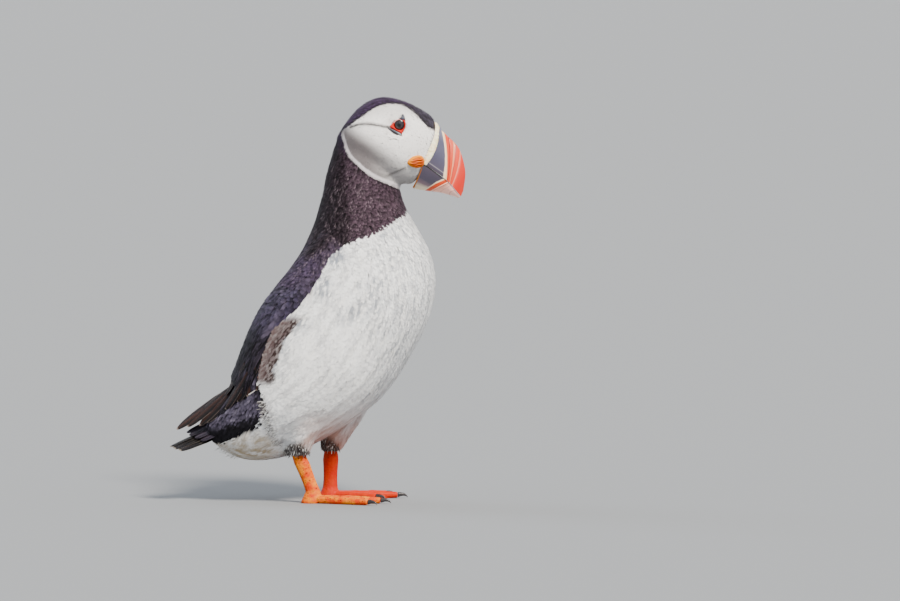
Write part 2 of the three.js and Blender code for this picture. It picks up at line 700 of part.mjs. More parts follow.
function buildFoot(name, side) {
  const heelX = name === "right" ? RIGHT_HEEL_X : LEFT_HEEL_X;
  const heel = at(heelX, side * LEG_OFFSET, 0);
  const toes = TOES.map((toe) => toeSolid(toe, side, heel));
  const pad = column(
    [
      [heelX - 1.2, heel.y, -1.5, 5.6, 4.2],
      [heelX - 0.8, heel.y, 1.2, 5.9, 4.5],
      [heelX - 0.3, heel.y, 4, 5.1, 3.9],
      [heelX, heel.y, ANKLE_HEIGHT, TARSUS_DEPTH / 2, TARSUS_WIDTH / 2],
    ],
    LEG_SIDES,
  );
  const floor = solid(new THREE.BoxGeometry(400, 400, 20).translate(0, 0, -10));
  const foot = joined([pad, webSolid(side, heel), ...toes]).subtract(floor);
  add("foot_" + name, foot, "leg");
  for (const toe of TOES) {
    add("claw_" + name + "_" + toe.name, clawSolid(toe, side, heel).subtract(floor), "claw");
  }
}

// ---------------------------------------------------------------------------------------------
// Assembly
// ---------------------------------------------------------------------------------------------

// Parting planes in side view, each from the back to the front.
const FACE_PLANE = [
  [9.5, 199.5],
  [49.5, 178.5],
];
const NECK_PLANE = [
  [-14, 130.6],
  [56, 171.8],
];
const RUMP_PLANE = [
  [-48.5, 71.5],
  [-12, 22],
];

const SIDES = [
  { name: "right", side: -1 },
  { name: "left", side: 1 },
];

function buildHeadAndBody() {
  const sockets = joined(SIDES.map(({ side }) => eyeball(side, GAP)));
  const whole = bodySolid.add(headSolid).subtract(sockets);
  const above = ([from, to]) => behind(to, from);
  const below = ([from, to]) => behind(from, to);
  add("head", largest(whole.intersect(above(FACE_PLANE))), "face");
  add("neck", largest(whole.intersect(below(FACE_PLANE)).intersect(above(NECK_PLANE))), "dark");
  add("trunk", largest(whole.intersect(below(NECK_PLANE)).intersect(above(RUMP_PLANE))), "white");
  add("rump", largest(whole.intersect(below(RUMP_PLANE))), "rump");
}

buildHeadAndBody();
buildBill();
for (const { name, side } of SIDES) {
  add("eye_" + name, eyeball(side), "eye");
  add("eye_ring_" + name, largest(orbitalRing(side)), "lid");
  add("eye_plate_upper_" + name, largest(onCheek(side, UPPER_PLATE, PLATE_HEIGHT)), "slate");
  add("eye_plate_lower_" + name, largest(onCheek(side, LOWER_PLATE, PLATE_HEIGHT)), "slate");
  add("wing_" + name, foldedWing(side), "wing");
  add("primaries_" + name, longFeathers(side), "wing");
  buildThigh(name, side);
  buildTarsus(name, side);
  buildFoot(name, side);
}
buildTail();

export default puffin;
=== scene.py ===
import math

import bmesh
import bpy
import numpy as np
from mathutils import Matrix, Vector
from mathutils.bvhtree import BVHTree


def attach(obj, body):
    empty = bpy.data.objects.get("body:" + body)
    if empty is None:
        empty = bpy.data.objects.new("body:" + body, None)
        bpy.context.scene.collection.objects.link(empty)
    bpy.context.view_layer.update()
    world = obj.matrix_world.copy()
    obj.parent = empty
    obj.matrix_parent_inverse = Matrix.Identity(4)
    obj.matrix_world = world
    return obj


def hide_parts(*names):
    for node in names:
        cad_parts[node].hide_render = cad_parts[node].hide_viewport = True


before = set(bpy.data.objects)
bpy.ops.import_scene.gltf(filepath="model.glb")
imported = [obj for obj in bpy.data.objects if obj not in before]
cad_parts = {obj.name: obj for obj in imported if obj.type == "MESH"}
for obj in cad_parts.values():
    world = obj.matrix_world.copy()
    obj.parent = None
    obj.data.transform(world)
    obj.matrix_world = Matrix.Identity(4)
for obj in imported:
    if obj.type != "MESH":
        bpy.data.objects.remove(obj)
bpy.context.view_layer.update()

# =============================================================================================
# The studio
# A grey seamless floor, a large soft light above and in front of the bird, a weaker one behind
# it and an even sky all round. The camera has a long lens, looks at the bird's right side and
# stands a little above its head.
# =============================================================================================

MM = 0.001


def linear(hex_colour):
    """An sRGB hex value as linear RGBA."""
    channels = [int(hex_colour[i : i + 2], 16) / 255 for i in (1, 3, 5)]
    bent = [c / 12.92 if c <= 0.04045 else ((c + 0.055) / 1.055) ** 2.4 for c in channels]
    return (*bent, 1.0)


def add_node(tree, kind, inputs=None, links=None, stops=(), **settings):
    """Adds a shader node. inputs are values by socket.

    links are sockets of other nodes by socket, or a node, which means its first output. stops are
    the (position, linear colour) pairs of a colour ramp.
    """
    node = tree.nodes.new("ShaderNode" + kind)
    for key, value in settings.items():
        setattr(node, key, value)
    for key, value in (inputs or {}).items():
        node.inputs[key].default_value = value
    for key, source in (links or {}).items():
        socket = source.outputs[0] if isinstance(source, bpy.types.Node) else source
        tree.links.new(socket, node.inputs[key])
    for number in (0, -1) if stops else ():
        node.color_ramp.elements[number].position = stops[number][0]
        node.color_ramp.elements[number].color = stops[number][1]
    for position, colour in stops[1:-1]:
        node.color_ramp.elements.new(position).color = colour
    return node


def new_material(name):
    """An empty material and its node tree."""
    material = bpy.data.materials.new(name)
    material.use_nodes = True
    material.node_tree.nodes.clear()
    return material, material.node_tree


def finish_material(tree, surface):
    add_node(tree, "OutputMaterial", links={"Surface": surface})


def add_object(name, data):
    thing = bpy.data.objects.new(name, data)
    bpy.context.scene.collection.objects.link(thing)
    return thing


VIEW_WIDTH = 513 * MM  # seen across the picture at the bird
VIEW_CENTRE = Vector((76, 0, 114.5)) * MM
CAMERA_LENS = 300
CAMERA_SENSOR = 36
CAMERA_RISE = math.radians(2.5)
CAMERA_TURN = math.radians(1.0)
camera_data = bpy.data.cameras.new("camera")
camera_data.lens = CAMERA_LENS
camera_data.sensor_width = CAMERA_SENSOR
camera_data.clip_start = 0.1
camera_data.clip_end = 300
camera = add_object("camera", camera_data)
bpy.context.scene.camera = camera
camera_back = Vector(
    (
        math.sin(CAMERA_TURN) * math.cos(CAMERA_RISE),
        -math.cos(CAMERA_TURN) * math.cos(CAMERA_RISE),
        math.sin(CAMERA_RISE),
    )
)
camera.location = VIEW_CENTRE + camera_back * (VIEW_WIDTH * CAMERA_LENS / CAMERA_SENSOR)
camera.rotation_euler = (-camera_back).to_track_quat("-Z", "Y").to_euler()

FLOOR_RADIUS = 90.0
floor_mesh = bpy.data.meshes.new("floor")
floor_bmesh = bmesh.new()
bmesh.ops.create_circle(floor_bmesh, cap_ends=True, segments=96, radius=FLOOR_RADIUS)
floor_bmesh.to_mesh(floor_mesh)
floor_bmesh.free()
floor = add_object("floor", floor_mesh)
# Matt paper scatters light evenly, so the floor carries soft shadows and has no shine.
floor_material, tree = new_material("matt_grey_paper")
floor_noise = add_node(tree, "TexNoise", {"Scale": 900.0, "Detail": 2.0})
floor_bump = add_node(tree, "Bump", {"Strength": 0.05, "Distance": 0.0002}, {"Height": floor_noise})
floor_shader = add_node(
    tree, "BsdfPrincipled", {"Base Color": linear("#7C7F82"), "Roughness": 0.9}, {"Normal": floor_bump}
)
finish_material(tree, floor_shader)
floor_mesh.materials.append(floor_material)

world = bpy.data.worlds.new("sky")
bpy.context.scene.world = world
world.use_nodes = True
world.node_tree.nodes.clear()
sky = add_node(world.node_tree, "Background", {"Color": linear("#E6EBF1"), "Strength": 1.25})
add_node(world.node_tree, "OutputWorld", links={"Surface": sky})


def sun_light(name, towards, strength, softness, colour):
    """A far light that shines from the direction towards, softness degrees across."""
    data = bpy.data.lights.new(name, "SUN")
    data.energy = strength
    data.angle = math.radians(softness)
    data.color = linear(colour)[:3]
    light = add_object(name, data)
    light.rotation_euler = Vector(towards).to_track_quat("Z", "Y").to_euler()


sun_light("key_light", (0.5, -0.85, 0.95), 8.4, 16, "#FFF6EA")
sun_light("back_light", (-0.9, 0.7, 0.8), 0.9, 30, "#E6EEFF")

# =============================================================================================
# The skin
# One soft skin over flesh, bone and folded wings. It is what remains of the bird when the
# plumage is taken away, so it lies inside the outline by the depth of the coat.
# The bare skin of the legs and the webs grows out of it at the hocks.
# =============================================================================================

PLUMED = ["head", "neck", "trunk", "rump", "wing_right", "wing_left", "thigh_right", "thigh_left"]
BARE = ["tarsus_right", "foot_right", "tarsus_left", "foot_left"]
BODY_COAT = 1.8 * MM  # depth of the plumage
HEAD_COAT = 0.7 * MM
HOCK_TOP = 27.0 * MM  # where the bare legs go into the plumage


def solid_copy(name, nodes):
    """One object with copies of the named solids, their split corners welded."""
    joined = bmesh.new()
    for node in nodes:
        joined.from_mesh(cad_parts[node].data)
    bmesh.ops.remove_doubles(joined, verts=joined.verts, dist=0.01 * MM)
    mesh = bpy.data.meshes.new(name)
    joined.to_mesh(mesh)
    joined.free()
    return add_object(name, mesh)


def apply_modifiers(thing, *modifiers):
    """Adds modifiers, each a type and its settings, and keeps their result as the mesh."""
    for kind, settings in modifiers:
        modifier = thing.modifiers.new(kind.lower(), kind)
        for key, value in settings.items():
            setattr(modifier, key, value)
    graph = bpy.context.evaluated_depsgraph_get()
    mesh = bpy.data.meshes.new_from_object(thing.evaluated_get(graph))
    thing.modifiers.clear()
    thing.data = mesh


def soft_form(name, nodes, swell, voxel, smoothing):
    """The named solids as one smooth closed form: swollen to meet, remeshed and smoothed."""
    form = solid_copy(name, nodes)
    apply_modifiers(
        form,
        ("DISPLACE", {"strength": swell, "mid_level": 0.0}),
        ("REMESH", {"mode": "VOXEL", "voxel_size": voxel}),
        ("SMOOTH", {"factor": 0.5, "iterations": smoothing}),
    )
    return form


def places_of(mesh):
    places = np.empty(len(mesh.vertices) * 3, np.float32)
    mesh.vertices.foreach_get("co", places)
    return places.reshape(-1, 3).astype(float)


def normals_of(mesh):
    normals = np.empty(len(mesh.vertices) * 3, np.float32)
    mesh.vertex_normals.foreach_get("vector", normals)
    return normals.reshape(-1, 3).astype(float)


def set_places(mesh, places):
    mesh.vertices.foreach_set("co", places.astype(np.float32).ravel())
    mesh.update()


def set_attribute(mesh, name, values):
    """Stores one number for each vertex."""
    stored = mesh.attributes.new(name, "FLOAT", "POINT")
    stored.data.foreach_set("value", np.asarray(values, np.float32))


def shade_smooth(mesh):
    mesh.polygons.foreach_set("use_smooth", np.ones(len(mesh.polygons), bool))


def smooth_step(low, high, value):
    share = np.clip((value - low) / (high - low), 0, 1)
    return share * share * (3 - 2 * share)


def above_throat(places):
    """How far a place lies above the plane from nape to throat, towards the head, in metres."""
    return (places[:, 0] - 29.5 * MM) * 0.465 + (places[:, 2] - 189 * MM) * 0.885


def coat_depth(places):
    head_share = smooth_step(-7 * MM, 5 * MM, above_throat(places))
    near_bill = smooth_step(58 * MM, 66 * MM, places[:, 0]) * head_share
    near_hock = smooth_step(40 * MM, 29 * MM, places[:, 2])
    depth = BODY_COAT + (HEAD_COAT - BODY_COAT) * head_share
    return depth * (1 - 0.5 * near_bill) * (1 - 0.3 * near_hock)


def outside(places, normals):
    """Places on the plumage's outer surface over places on the skin."""
    return places + normals * (coat_depth(places) + 0.2 * MM)[:, None]


def past_bill_base(places):
    """How far a place lies past the straight line where the bill starts, in metres."""
    return (places[:, 0] - 54.4 * MM) * 0.942 - (places[:, 2] - 179.6 * MM) * 0.337


skin = soft_form("skin", PLUMED, 0.25 * MM, 1.05 * MM, 7)
skin_places = places_of(skin.data)
on_head = above_throat(skin_places) > -4 * MM
into_bill = (smooth_step(-1.8 * MM, -0.2 * MM, past_bill_base(skin_places)) * on_head)[:, None]
bill_root = np.array([61, 0, 198]) * MM
taper = (0.22 - 0.06 * smooth_step(200 * MM, 213 * MM, skin_places[:, 2]))[:, None]
skin_places += into_bill * (np.array([0.942, 0, -0.337]) * 3 * MM - taper * (skin_places - bill_root))
set_places(skin.data, skin_places)

# The sockets are filled flush with the cheek, by a cubic sheet fitted to the skin around them.
EYE_X, EYE_Z = 47.45, 214.8  # the middle of each eye in side view, in millimetres
SOCKET_REACH = 7.6 * MM


def cubic_terms(from_middle):
    x, z = (from_middle / (10 * MM)).T
    return np.stack([x**i * z**j for i in range(4) for j in range(4 - i)], axis=1)


skin_places = places_of(skin.data)
from_eye = skin_places[:, [0, 2]] - np.array([EYE_X, EYE_Z]) * MM
gap = np.linalg.norm(from_eye, axis=1)
fills = []
for side in (-1, 1):
    this_side = skin_places[:, 1] * side > 5 * MM
    around = this_side & (gap > 6.2 * MM) & (gap < 9.5 * MM)
    fit = np.linalg.lstsq(cubic_terms(from_eye[around]), skin_places[around, 1], rcond=None)[0]
    inside = this_side & (gap < SOCKET_REACH)
    old_share = smooth_step(5.8 * MM, SOCKET_REACH, gap[inside])
    sheet = cubic_terms(from_eye[inside]) @ fit
    skin_places[inside, 1] = old_share * skin_places[inside, 1] + (1 - old_share) * sheet
    step = 0.1 * MM
    slopes = [(cubic_terms(from_eye[inside] + way) @ fit - sheet) / step for way in ((step, 0), (0, step))]
    sheet_normals = side * np.stack([-slopes[0], np.ones(len(sheet)), -slopes[1]], axis=1)
    fills.append((inside, sheet_normals / np.linalg.norm(sheet_normals, axis=1)[:, None]))
set_places(skin.data, skin_places)
outer_tree = BVHTree.FromObject(skin, bpy.context.evaluated_depsgraph_get())
skin_places = places_of(skin.data)
skin_normals = normals_of(skin.data)
for inside, sheet_normals in fills:
    skin_normals[inside] = sheet_normals
set_places(skin.data, outside(skin_places, -skin_normals))
apply_modifiers(skin, ("SMOOTH", {"factor": 0.5, "iterations": 2}))
skin_tree = BVHTree.FromObject(skin, bpy.context.evaluated_depsgraph_get())

# ---------------------------------------------------------------------------------------------
# The markings
# The dark cap and collar, the pale face, the white front and the dark back, drawn as smooth
# lines in side view. Skin and plumage both read them.
# ---------------------------------------------------------------------------------------------

FACE_EDGE = [
    (15.1, 212.0), (21.9, 217.2), (28.8, 221.9), (34.5, 225.3), (40.2, 227.0), (46.5, 227.1),
    (52.2, 225.1), (57.2, 221.4), (60.9, 217.5), (64.0, 213.7), (67.4, 211.2), (73.0, 204.0),
    (74.0, 195.0),
    (66.0, 181.0), (56.0, 175.5), (49.5, 178.0), (44.7, 180.7), (37.3, 184.1), (30.5, 187.5),
    (24.8, 192.1), (19.1, 197.8), (16.2, 204.6),
]
WHITE_EDGE = [
    (95, 172), (70, 170), (54, 169), (49.9, 167.6), (44.7, 164.7), (36.2, 159.0), (27.6, 155.0),
    (19.1, 152.0), (13.4, 148.2), (9.1, 144.4), (2.0, 129.4), (-3.7, 119.4), (-11.5, 110.9),
    (-19.4, 104.5), (-25.1, 95.2), (-29.4, 83.8), (-31.4, 73.8), (-30.0, 63.6), (-26.8, 56.5),
    (-26.4, 50.8), (-28.6, 47.2), (-33.5, 45.0), (-39.5, 42.8), (-46.5, 40.4), (-51.5, 37.6),
    (-56.5, 33.0), (-66, 28),
    (-66, -20), (30, -40), (110, -20),
]
WING_LOWER_EDGE = [
    (11.0, 150.0), (9.0, 144.0), (2.0, 129.4), (-3.7, 119.4), (-11.5, 110.9), (-19.4, 104.0),
    (-25.1, 95.2), (-29.4, 83.8), (-31.6, 73.8), (-33.6, 66.6), (-38.0, 62.2), (-46.0, 57.6),
    (-60.4, 47.0), (-100, 20), (-100, 170), (0, 170),
]
CREASE = [(41.5, 213.6), (36.2, 214.8), (30.5, 215.6), (24.8, 215.4), (19.5, 213.7)]
MALAR_FOLD = [(52.0, 191.0), (46.0, 188.3), (40.0, 186.2), (35.0, 187.2)]


def between(a, b, c, d, share):
    """A Catmull-Rom run from b to c, read at share from 0 to 1. a lies before b and d after c."""
    curve = 2 * a - 5 * b + 4 * c - d
    return 0.5 * (2 * b + (c - a) * share + curve * share**2 + (3 * b - a - 3 * c + d) * share**3)


def smooth_line(points, closed, steps=6):
    """A Catmull-Rom line through points given in millimetres, as an array in metres."""
    anchors = np.array(points, float) * MM
    count = len(anchors)
    spans = count if closed else count - 1

    def anchor(i):
        return anchors[i % count] if closed else anchors[min(max(i, 0), count - 1)]

    made = []
    for span in range(spans):
        around = [anchor(span + k) for k in (-1, 0, 1, 2)]
        for share in np.arange(steps) / steps:
            made.append(between(*around, share))
    return np.array(made if closed else made + [anchors[-1]])


def distance_to(line, side_places, closed):
    """Distance from places in side view to a line."""
    ends = np.roll(line, -1, axis=0) if closed else line[1:]
    starts = line if closed else line[:-1]
    best = np.full(len(side_places), 1e9)
    for start, end in zip(starts, ends):
        way = end - start
        share = np.clip(((side_places - start) @ way) / max(way @ way, 1e-18), 0, 1)
        best = np.minimum(best, np.linalg.norm(side_places - start - share[:, None] * way, axis=1))
    return best


def depth_inside(edge, places):
    """Distance inside a closed outline drawn in side view, negative outside it."""
    side_places = places[:, [0, 2]]
    inside = np.zeros(len(places), bool)
    for (x1, z1), (x2, z2) in zip(edge, np.roll(edge, -1, axis=0)):
        spans = (z1 > side_places[:, 1]) != (z2 > side_places[:, 1])
        rise = z2 - z1 if abs(z2 - z1) > 1e-12 else 1e-12
        inside ^= spans & (side_places[:, 0] < (x2 - x1) * (side_places[:, 1] - z1) / rise + x1)
    distance = distance_to(edge, side_places, True)
    return np.where(inside, distance, -distance)


MAP_CELL = 0.5 * MM
MAP_LOW = np.array([-110, -30]) * MM
MAP_HIGH = np.array([110, 250]) * MM


def drawn(measure):
    """A distance in side view, worked out once on a fine grid and read between its points."""
    columns, rows = ((MAP_HIGH - MAP_LOW) / MAP_CELL).astype(int) + 1
    x, z = np.meshgrid(np.arange(columns), np.arange(rows), indexing="ij")
    grid = MAP_LOW + np.stack([x.ravel(), z.ravel()], axis=1) * MAP_CELL
    table = measure(np.insert(grid, 1, 0.0, axis=1)).reshape(columns, rows)

    def read(places):
        at = (places[:, [0, 2]] - MAP_LOW) / MAP_CELL
        at = np.clip(at, 0, [columns - 1.001, rows - 1.001])
        i, j = np.floor(at).astype(int).T
        a, b = (at - np.floor(at)).T
        low = table[i, j] * (1 - a) + table[i + 1, j] * a
        high = table[i, j + 1] * (1 - a) + table[i + 1, j + 1] * a
        return low * (1 - b) + high * b

    return read


face_edge = smooth_line(FACE_EDGE, True)
white_edge = smooth_line(WHITE_EDGE, True)
wing_edge = smooth_line(WING_LOWER_EDGE, True)
crease_line = smooth_line(CREASE, False)
malar_line = smooth_line(MALAR_FOLD, False)
on_face = drawn(lambda places: depth_inside(face_edge, places))
on_white = drawn(lambda places: depth_inside(white_edge, places))
on_wing = drawn(lambda places: depth_inside(wing_edge, places))
from_crease = drawn(lambda places: distance_to(crease_line, places[:, [0, 2]], False))
from_malar = drawn(lambda places: distance_to(malar_line, places[:, [0, 2]], False))


def in_crease(places):
    """1 in the crease behind the eye, falling to 0 a millimetre off."""
    return np.exp(-((from_crease(places) / (0.45 * MM)) ** 2))


def in_malar_fold(places):
    return np.exp(-((from_malar(places) / (0.9 * MM)) ** 2))


skin_places = places_of(skin.data)
skin_normals = normals_of(skin.data)
sideways = np.abs(skin_normals[:, 1])
folds = (0.55 * in_crease(skin_places) + 0.35 * in_malar_fold(skin_places)) * sideways * MM
set_places(skin.data, skin_places - skin_normals * folds[:, None])
skin_places = places_of(skin.data)
skin_face = smooth_step(-0.6 * MM, 0.6 * MM, on_face(skin_places))
# Painted shadow: the skin stays dark up to 1.5 mm past the wing's lower edge, a shadow line between wing
# and flank.
wing_shadow_margin = on_wing(skin_places) + 1.5 * MM
skin_white = smooth_step(-1.0 * MM, 1.0 * MM, np.minimum(on_white(skin_places), -wing_shadow_margin))
set_attribute(skin.data, "face", skin_face)
set_attribute(skin.data, "white", skin_white)

# ---------------------------------------------------------------------------------------------
# Legs and webs: scaly skin, bright orange from the pigment in it, with small dark specks. The left leg is
# painted deeper red, a painted shade.
# It is the same skin as the body's, so it is joined to it as one piece.
# ---------------------------------------------------------------------------------------------

legs = soft_form("legs", BARE, 0.12 * MM, 0.42 * MM, 3)
leg_places = places_of(legs.data)
leg_places[:, 2] += np.where(leg_places[:, 2] > HOCK_TOP - 0.6 * MM, 7 * MM, 0)
leg_places[:, 2] = np.maximum(leg_places[:, 2], 0)
set_places(legs.data, leg_places)
leg_zeros = np.zeros(len(leg_places))
set_attribute(legs.data, "face", leg_zeros)
set_attribute(legs.data, "white", leg_zeros)

# Skin under feathers: matt and tinted like the feathers over it, so that no gap in them shows, and dark
# past the wing's lower edge as a painted shadow line.
skin_material, tree = new_material("feathered_skin")
face_share = add_node(tree, "Attribute", attribute_name="face")
white_share = add_node(tree, "Attribute", attribute_name="white")
dark_or_white = add_node(
    tree,
    "Mix",
    {"A": linear("#1E191D"), "B": linear("#EDEEEF")},
    {"Factor": white_share.outputs["Fac"]},
    data_type="RGBA",
)
skin_colour = add_node(
    tree,
    "Mix",
    {"B": linear("#A39E9F")},
    {"Factor": face_share.outputs["Fac"], "A": dark_or_white.outputs["Result"]},
    data_type="RGBA",
)
skin_shader = add_node(
    tree, "BsdfPrincipled", {"Roughness": 0.9}, {"Base Color": skin_colour.outputs["Result"]}
)
finish_material(tree, skin_shader)

# Scaly skin: small plates each catch the light, over a pigment that is uneven and specked. The left leg
# turns deep red, which is painted shade.
leg_material, tree = new_material("scaly_leg_skin")
leg_place = add_node(tree, "TexCoord")
leg_scales = add_node(tree, "TexVoronoi", {"Scale": 780.0}, {"Vector": leg_place.outputs["Object"]})
leg_blotches = add_node(
    tree, "TexNoise", {"Scale": 260.0, "Detail": 4.0}, {"Vector": leg_place.outputs["Object"]}
)
leg_tint = add_node(
    tree,
    "ValToRGB",
    links={"Fac": leg_blotches},
    stops=((0.36, linear("#C23600")), (0.62, linear("#D67A00"))),
)
leg_specks = add_node(
    tree, "TexNoise", {"Scale": 1100.0, "Detail": 1.0}, {"Vector": leg_place.outputs["Object"]}
)
leg_speck_share = add_node(
    tree, "ValToRGB", links={"Fac": leg_specks}, stops=((0.66, (0, 0, 0, 1)), (0.7, (1, 1, 1, 1)))
)
leg_colour = add_node(
    tree, "Mix", {"B": linear("#2C1206")}, {"Factor": leg_speck_share, "A": leg_tint}, data_type="RGBA"
)
leg_bump = add_node(
    tree, "Bump", {"Strength": 0.6, "Distance": 0.0003}, {"Height": leg_scales.outputs["Distance"]}
)
# Painted shade: towards the left side the leg colour is mixed with deep red.
leg_side = add_node(tree, "SeparateXYZ", links={"Vector": leg_place.outputs["Object"]})
leg_shade_redness = add_node(
    tree,
    "MapRange",
    {"From Min": 0.002, "From Max": 0.008, "To Max": 0.9},
    {"Value": leg_side.outputs["Y"]},
)
leg_shade_reddened = add_node(
    tree,
    "Mix",
    {"B": linear("#B01400")},
    {"Factor": leg_shade_redness, "A": leg_colour.outputs["Result"]},
    data_type="RGBA",
)
leg_shader = add_node(
    tree,
    "BsdfPrincipled",
    {"Roughness": 0.5, "Specular IOR Level": 0.12},
    {"Base Color": leg_shade_reddened.outputs["Result"], "Normal": leg_bump},
)
finish_material(tree, leg_shader)

skin.data.materials.append(skin_material)
skin.data.materials.append(leg_material)
legs.data.materials.append(skin_material)
legs.data.materials.append(leg_material)
legs.data.polygons.foreach_set("material_index", np.ones(len(legs.data.polygons), np.int32))
for part in (skin, legs):
    shade_smooth(part.data)
whole = bmesh.new()
whole.from_mesh(skin.data)
whole.from_mesh(legs.data)
whole.to_mesh(skin.data)
whole.free()
bpy.data.objects.remove(legs)
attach(skin, "root")
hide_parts(*PLUMED, *BARE)

# =============================================================================================
# The plumage
# Small contour feathers root close together in the skin, lie towards the tail and overlap like tiles.
# Each is a thin cambered vane whose outer barbs come apart at the tip.
# =============================================================================================

# The way the coat lies: a line in side view from the bill over the head and down to the tail.
LIE = [
    (70, 199), (60, 205), (48, 208), (36, 207), (27, 199), (24, 188), (26, 175), (30, 160),
    (31, 143), (28, 125), (20, 105), (8, 85), (-8, 67), (-26, 53), (-44, 44), (-62, 38), (-86, 31),
]
HOCKS = [(-8.6, -19, 20), (7.4, 19, 20)]
HOCK_REACH = 15 * MM
LIE_REACH = 13 * MM

lie_line = smooth_line(LIE, False, 5)
lie_ways = np.gradient(lie_line, axis=0)
lie_ways /= np.linalg.norm(lie_ways, axis=1)[:, None]
lie_share = np.linspace(0, 1, len(lie_line))


def lie_weights(places):
    gaps = np.linalg.norm(places[:, None, [0, 2]] - lie_line[None], axis=2)
    gaps -= gaps.min(axis=1)[:, None]
    weights = np.exp(-gaps / (0.45 * LIE_REACH))
    return weights / weights.sum(axis=1)[:, None]


def lie_of_coat(places, normals):
    """The unit direction in which feathers lie at places on the skin."""
    ways = np.zeros_like(places)
    ways[:, [0, 2]] = lie_weights(places) @ lie_ways
    for hock in HOCKS:
        towards = np.array(hock) * MM - places
        gap = np.linalg.norm(towards, axis=1)
        pull = 2.2 * np.exp(-((gap / HOCK_REACH) ** 2)) * (places[:, 2] < 62 * MM)
        ways += (pull / np.maximum(gap, 1e-6))[:, None] * towards
    on_rump = smooth_step(-24 * MM, -34 * MM, places[:, 0]) * smooth_step(32 * MM, 40 * MM, places[:, 2])
    ways[:, 2] -= 1.1 * on_rump * (np.abs(places[:, 1]) > 6 * MM)
    ways -= normals * np.sum(ways * normals, axis=1)[:, None]
    return ways / np.maximum(np.linalg.norm(ways, axis=1), 1e-9)[:, None]


def unwrap(places):
    """Places on the skin as shares of a map: along the lie of the coat, and round the body."""
    weights = lie_weights(places)
    along = weights @ lie_share
    middle = weights @ lie_line
    across = weights @ np.stack([lie_ways[:, 1], -lie_ways[:, 0]], axis=1)
    height = np.sum((places[:, [0, 2]] - middle) * across, axis=1)
    around = np.arctan2(places[:, 1], height) / (2 * math.pi) + 0.5
    on_thigh = (places[:, 2] < 45 * MM) & (np.abs(places[:, 1]) > 9 * MM) & (places[:, 0] > -28 * MM)
    thigh_row = np.where(places[:, 1] < 0, 0.02, 0.52)
    u = np.where(on_thigh, 0.86 + places[:, 2] / (45 * MM) * 0.12, 0.01 + 0.83 * along)
    v = np.where(on_thigh, thigh_row + 0.45 * around, 0.01 + 0.98 * around)
    return np.stack([u, v], axis=1)


def combed(places):
    """Places squeezed along the lie, so that noise read at them runs in streaks down the coat."""
    weights = lie_weights(places)
    across = weights @ np.stack([lie_ways[:, 1], -lie_ways[:, 0]], axis=1)
    height = np.sum((places[:, [0, 2]] - weights @ lie_line) * across, axis=1)
    return np.stack([weights @ lie_share * 55 * MM, height, places[:, 1]], axis=1)


skin_triangles = skin.data.loop_triangles
skin.data.calc_loop_triangles()
corner_ids = np.empty(len(skin_triangles) * 3, np.int32)
skin_triangles.foreach_get("vertices", corner_ids)
corner_ids = corner_ids.reshape(-1, 3)
triangle_slots = np.empty(len(skin_triangles), np.int32)
skin_triangles.foreach_get("material_index", triangle_slots)
corner_ids = corner_ids[triangle_slots == 0]
skin_places = places_of(skin.data)
skin_normals = normals_of(skin.data)
corners = skin_places[corner_ids]
triangle_areas = 0.5 * np.linalg.norm(
    np.cross(corners[:, 1] - corners[:, 0], corners[:, 2] - corners[:, 0]), axis=1
)


def scatter(random, spacing, wanted):
    """Even random roots at least spacing apart, where wanted(places, normals) is true."""
    count = int(triangle_areas.sum() / spacing**2 * 2.6)
    picks = np.searchsorted(
        np.cumsum(triangle_areas), random.random(count) * triangle_areas.sum()
    ).clip(max=len(corner_ids) - 1)
    a, b = np.sqrt(random.random(count)), random.random(count)
    shares = np.stack([1 - a, a * (1 - b), a * b], axis=1)[:, :, None]
    places = (corners[picks] * shares).sum(axis=1)
    normals = (skin_normals[corner_ids[picks]] * shares).sum(axis=1)
    normals /= np.linalg.norm(normals, axis=1)[:, None]
    keep = wanted(places, normals)
    places, normals = places[keep], normals[keep]
    cells = np.floor(places / spacing).astype(int)
    taken = {}
    kept = []
    around = [(i, j, k) for i in (-1, 0, 1) for j in (-1, 0, 1) for k in (-1, 0, 1)]
    for number, ((cx, cy, cz), (x, y, z)) in enumerate(zip(cells.tolist(), places.tolist())):
        clear = True
        for i, j, k in around:
            for ox, oy, oz in taken.get((cx + i, cy + j, cz + k), ()):
                if (x - ox) ** 2 + (y - oy) ** 2 + (z - oz) ** 2 < spacing**2:
                    clear = False
                    break
            if not clear:
                break
        if clear:
            taken.setdefault((cx, cy, cz), []).append((x, y, z))
            kept.append(number)
    return places[kept], normals[kept]


def mesh_of(name, places, faces):
    """A smooth mesh from arrays of places and of equal-sized faces, one array for each size."""
    mesh = bpy.data.meshes.new(name)
    mesh.vertices.add(len(places))
    mesh.vertices.foreach_set("co", places.astype(np.float32).ravel())
    corner_list = np.concatenate([f.ravel() for f in faces]).astype(np.int32)
    sizes = np.concatenate([np.full(len(f), f.shape[1]) for f in faces])
    mesh.loops.add(len(corner_list))
    mesh.loops.foreach_set("vertex_index", corner_list)
    mesh.polygons.add(len(sizes))
    starts = np.concatenate([[0], np.cumsum(sizes)[:-1]]).astype(np.int32)
    mesh.polygons.foreach_set("loop_start", starts)
    mesh.polygons.foreach_set("use_smooth", np.ones(len(sizes), bool))
    mesh.update(calc_edges=True)
    return mesh, corner_list


def set_map(mesh, corner_list, shares):
    """Stores the map of a piece from one pair of shares for each vertex."""
    uv = mesh.uv_layers.new(name="OFBake")
    uv.uv.foreach_set("vector", shares[corner_list].astype(np.float32).ravel())


PATCH = 0.003  # side of each feather's patch on the skin's map


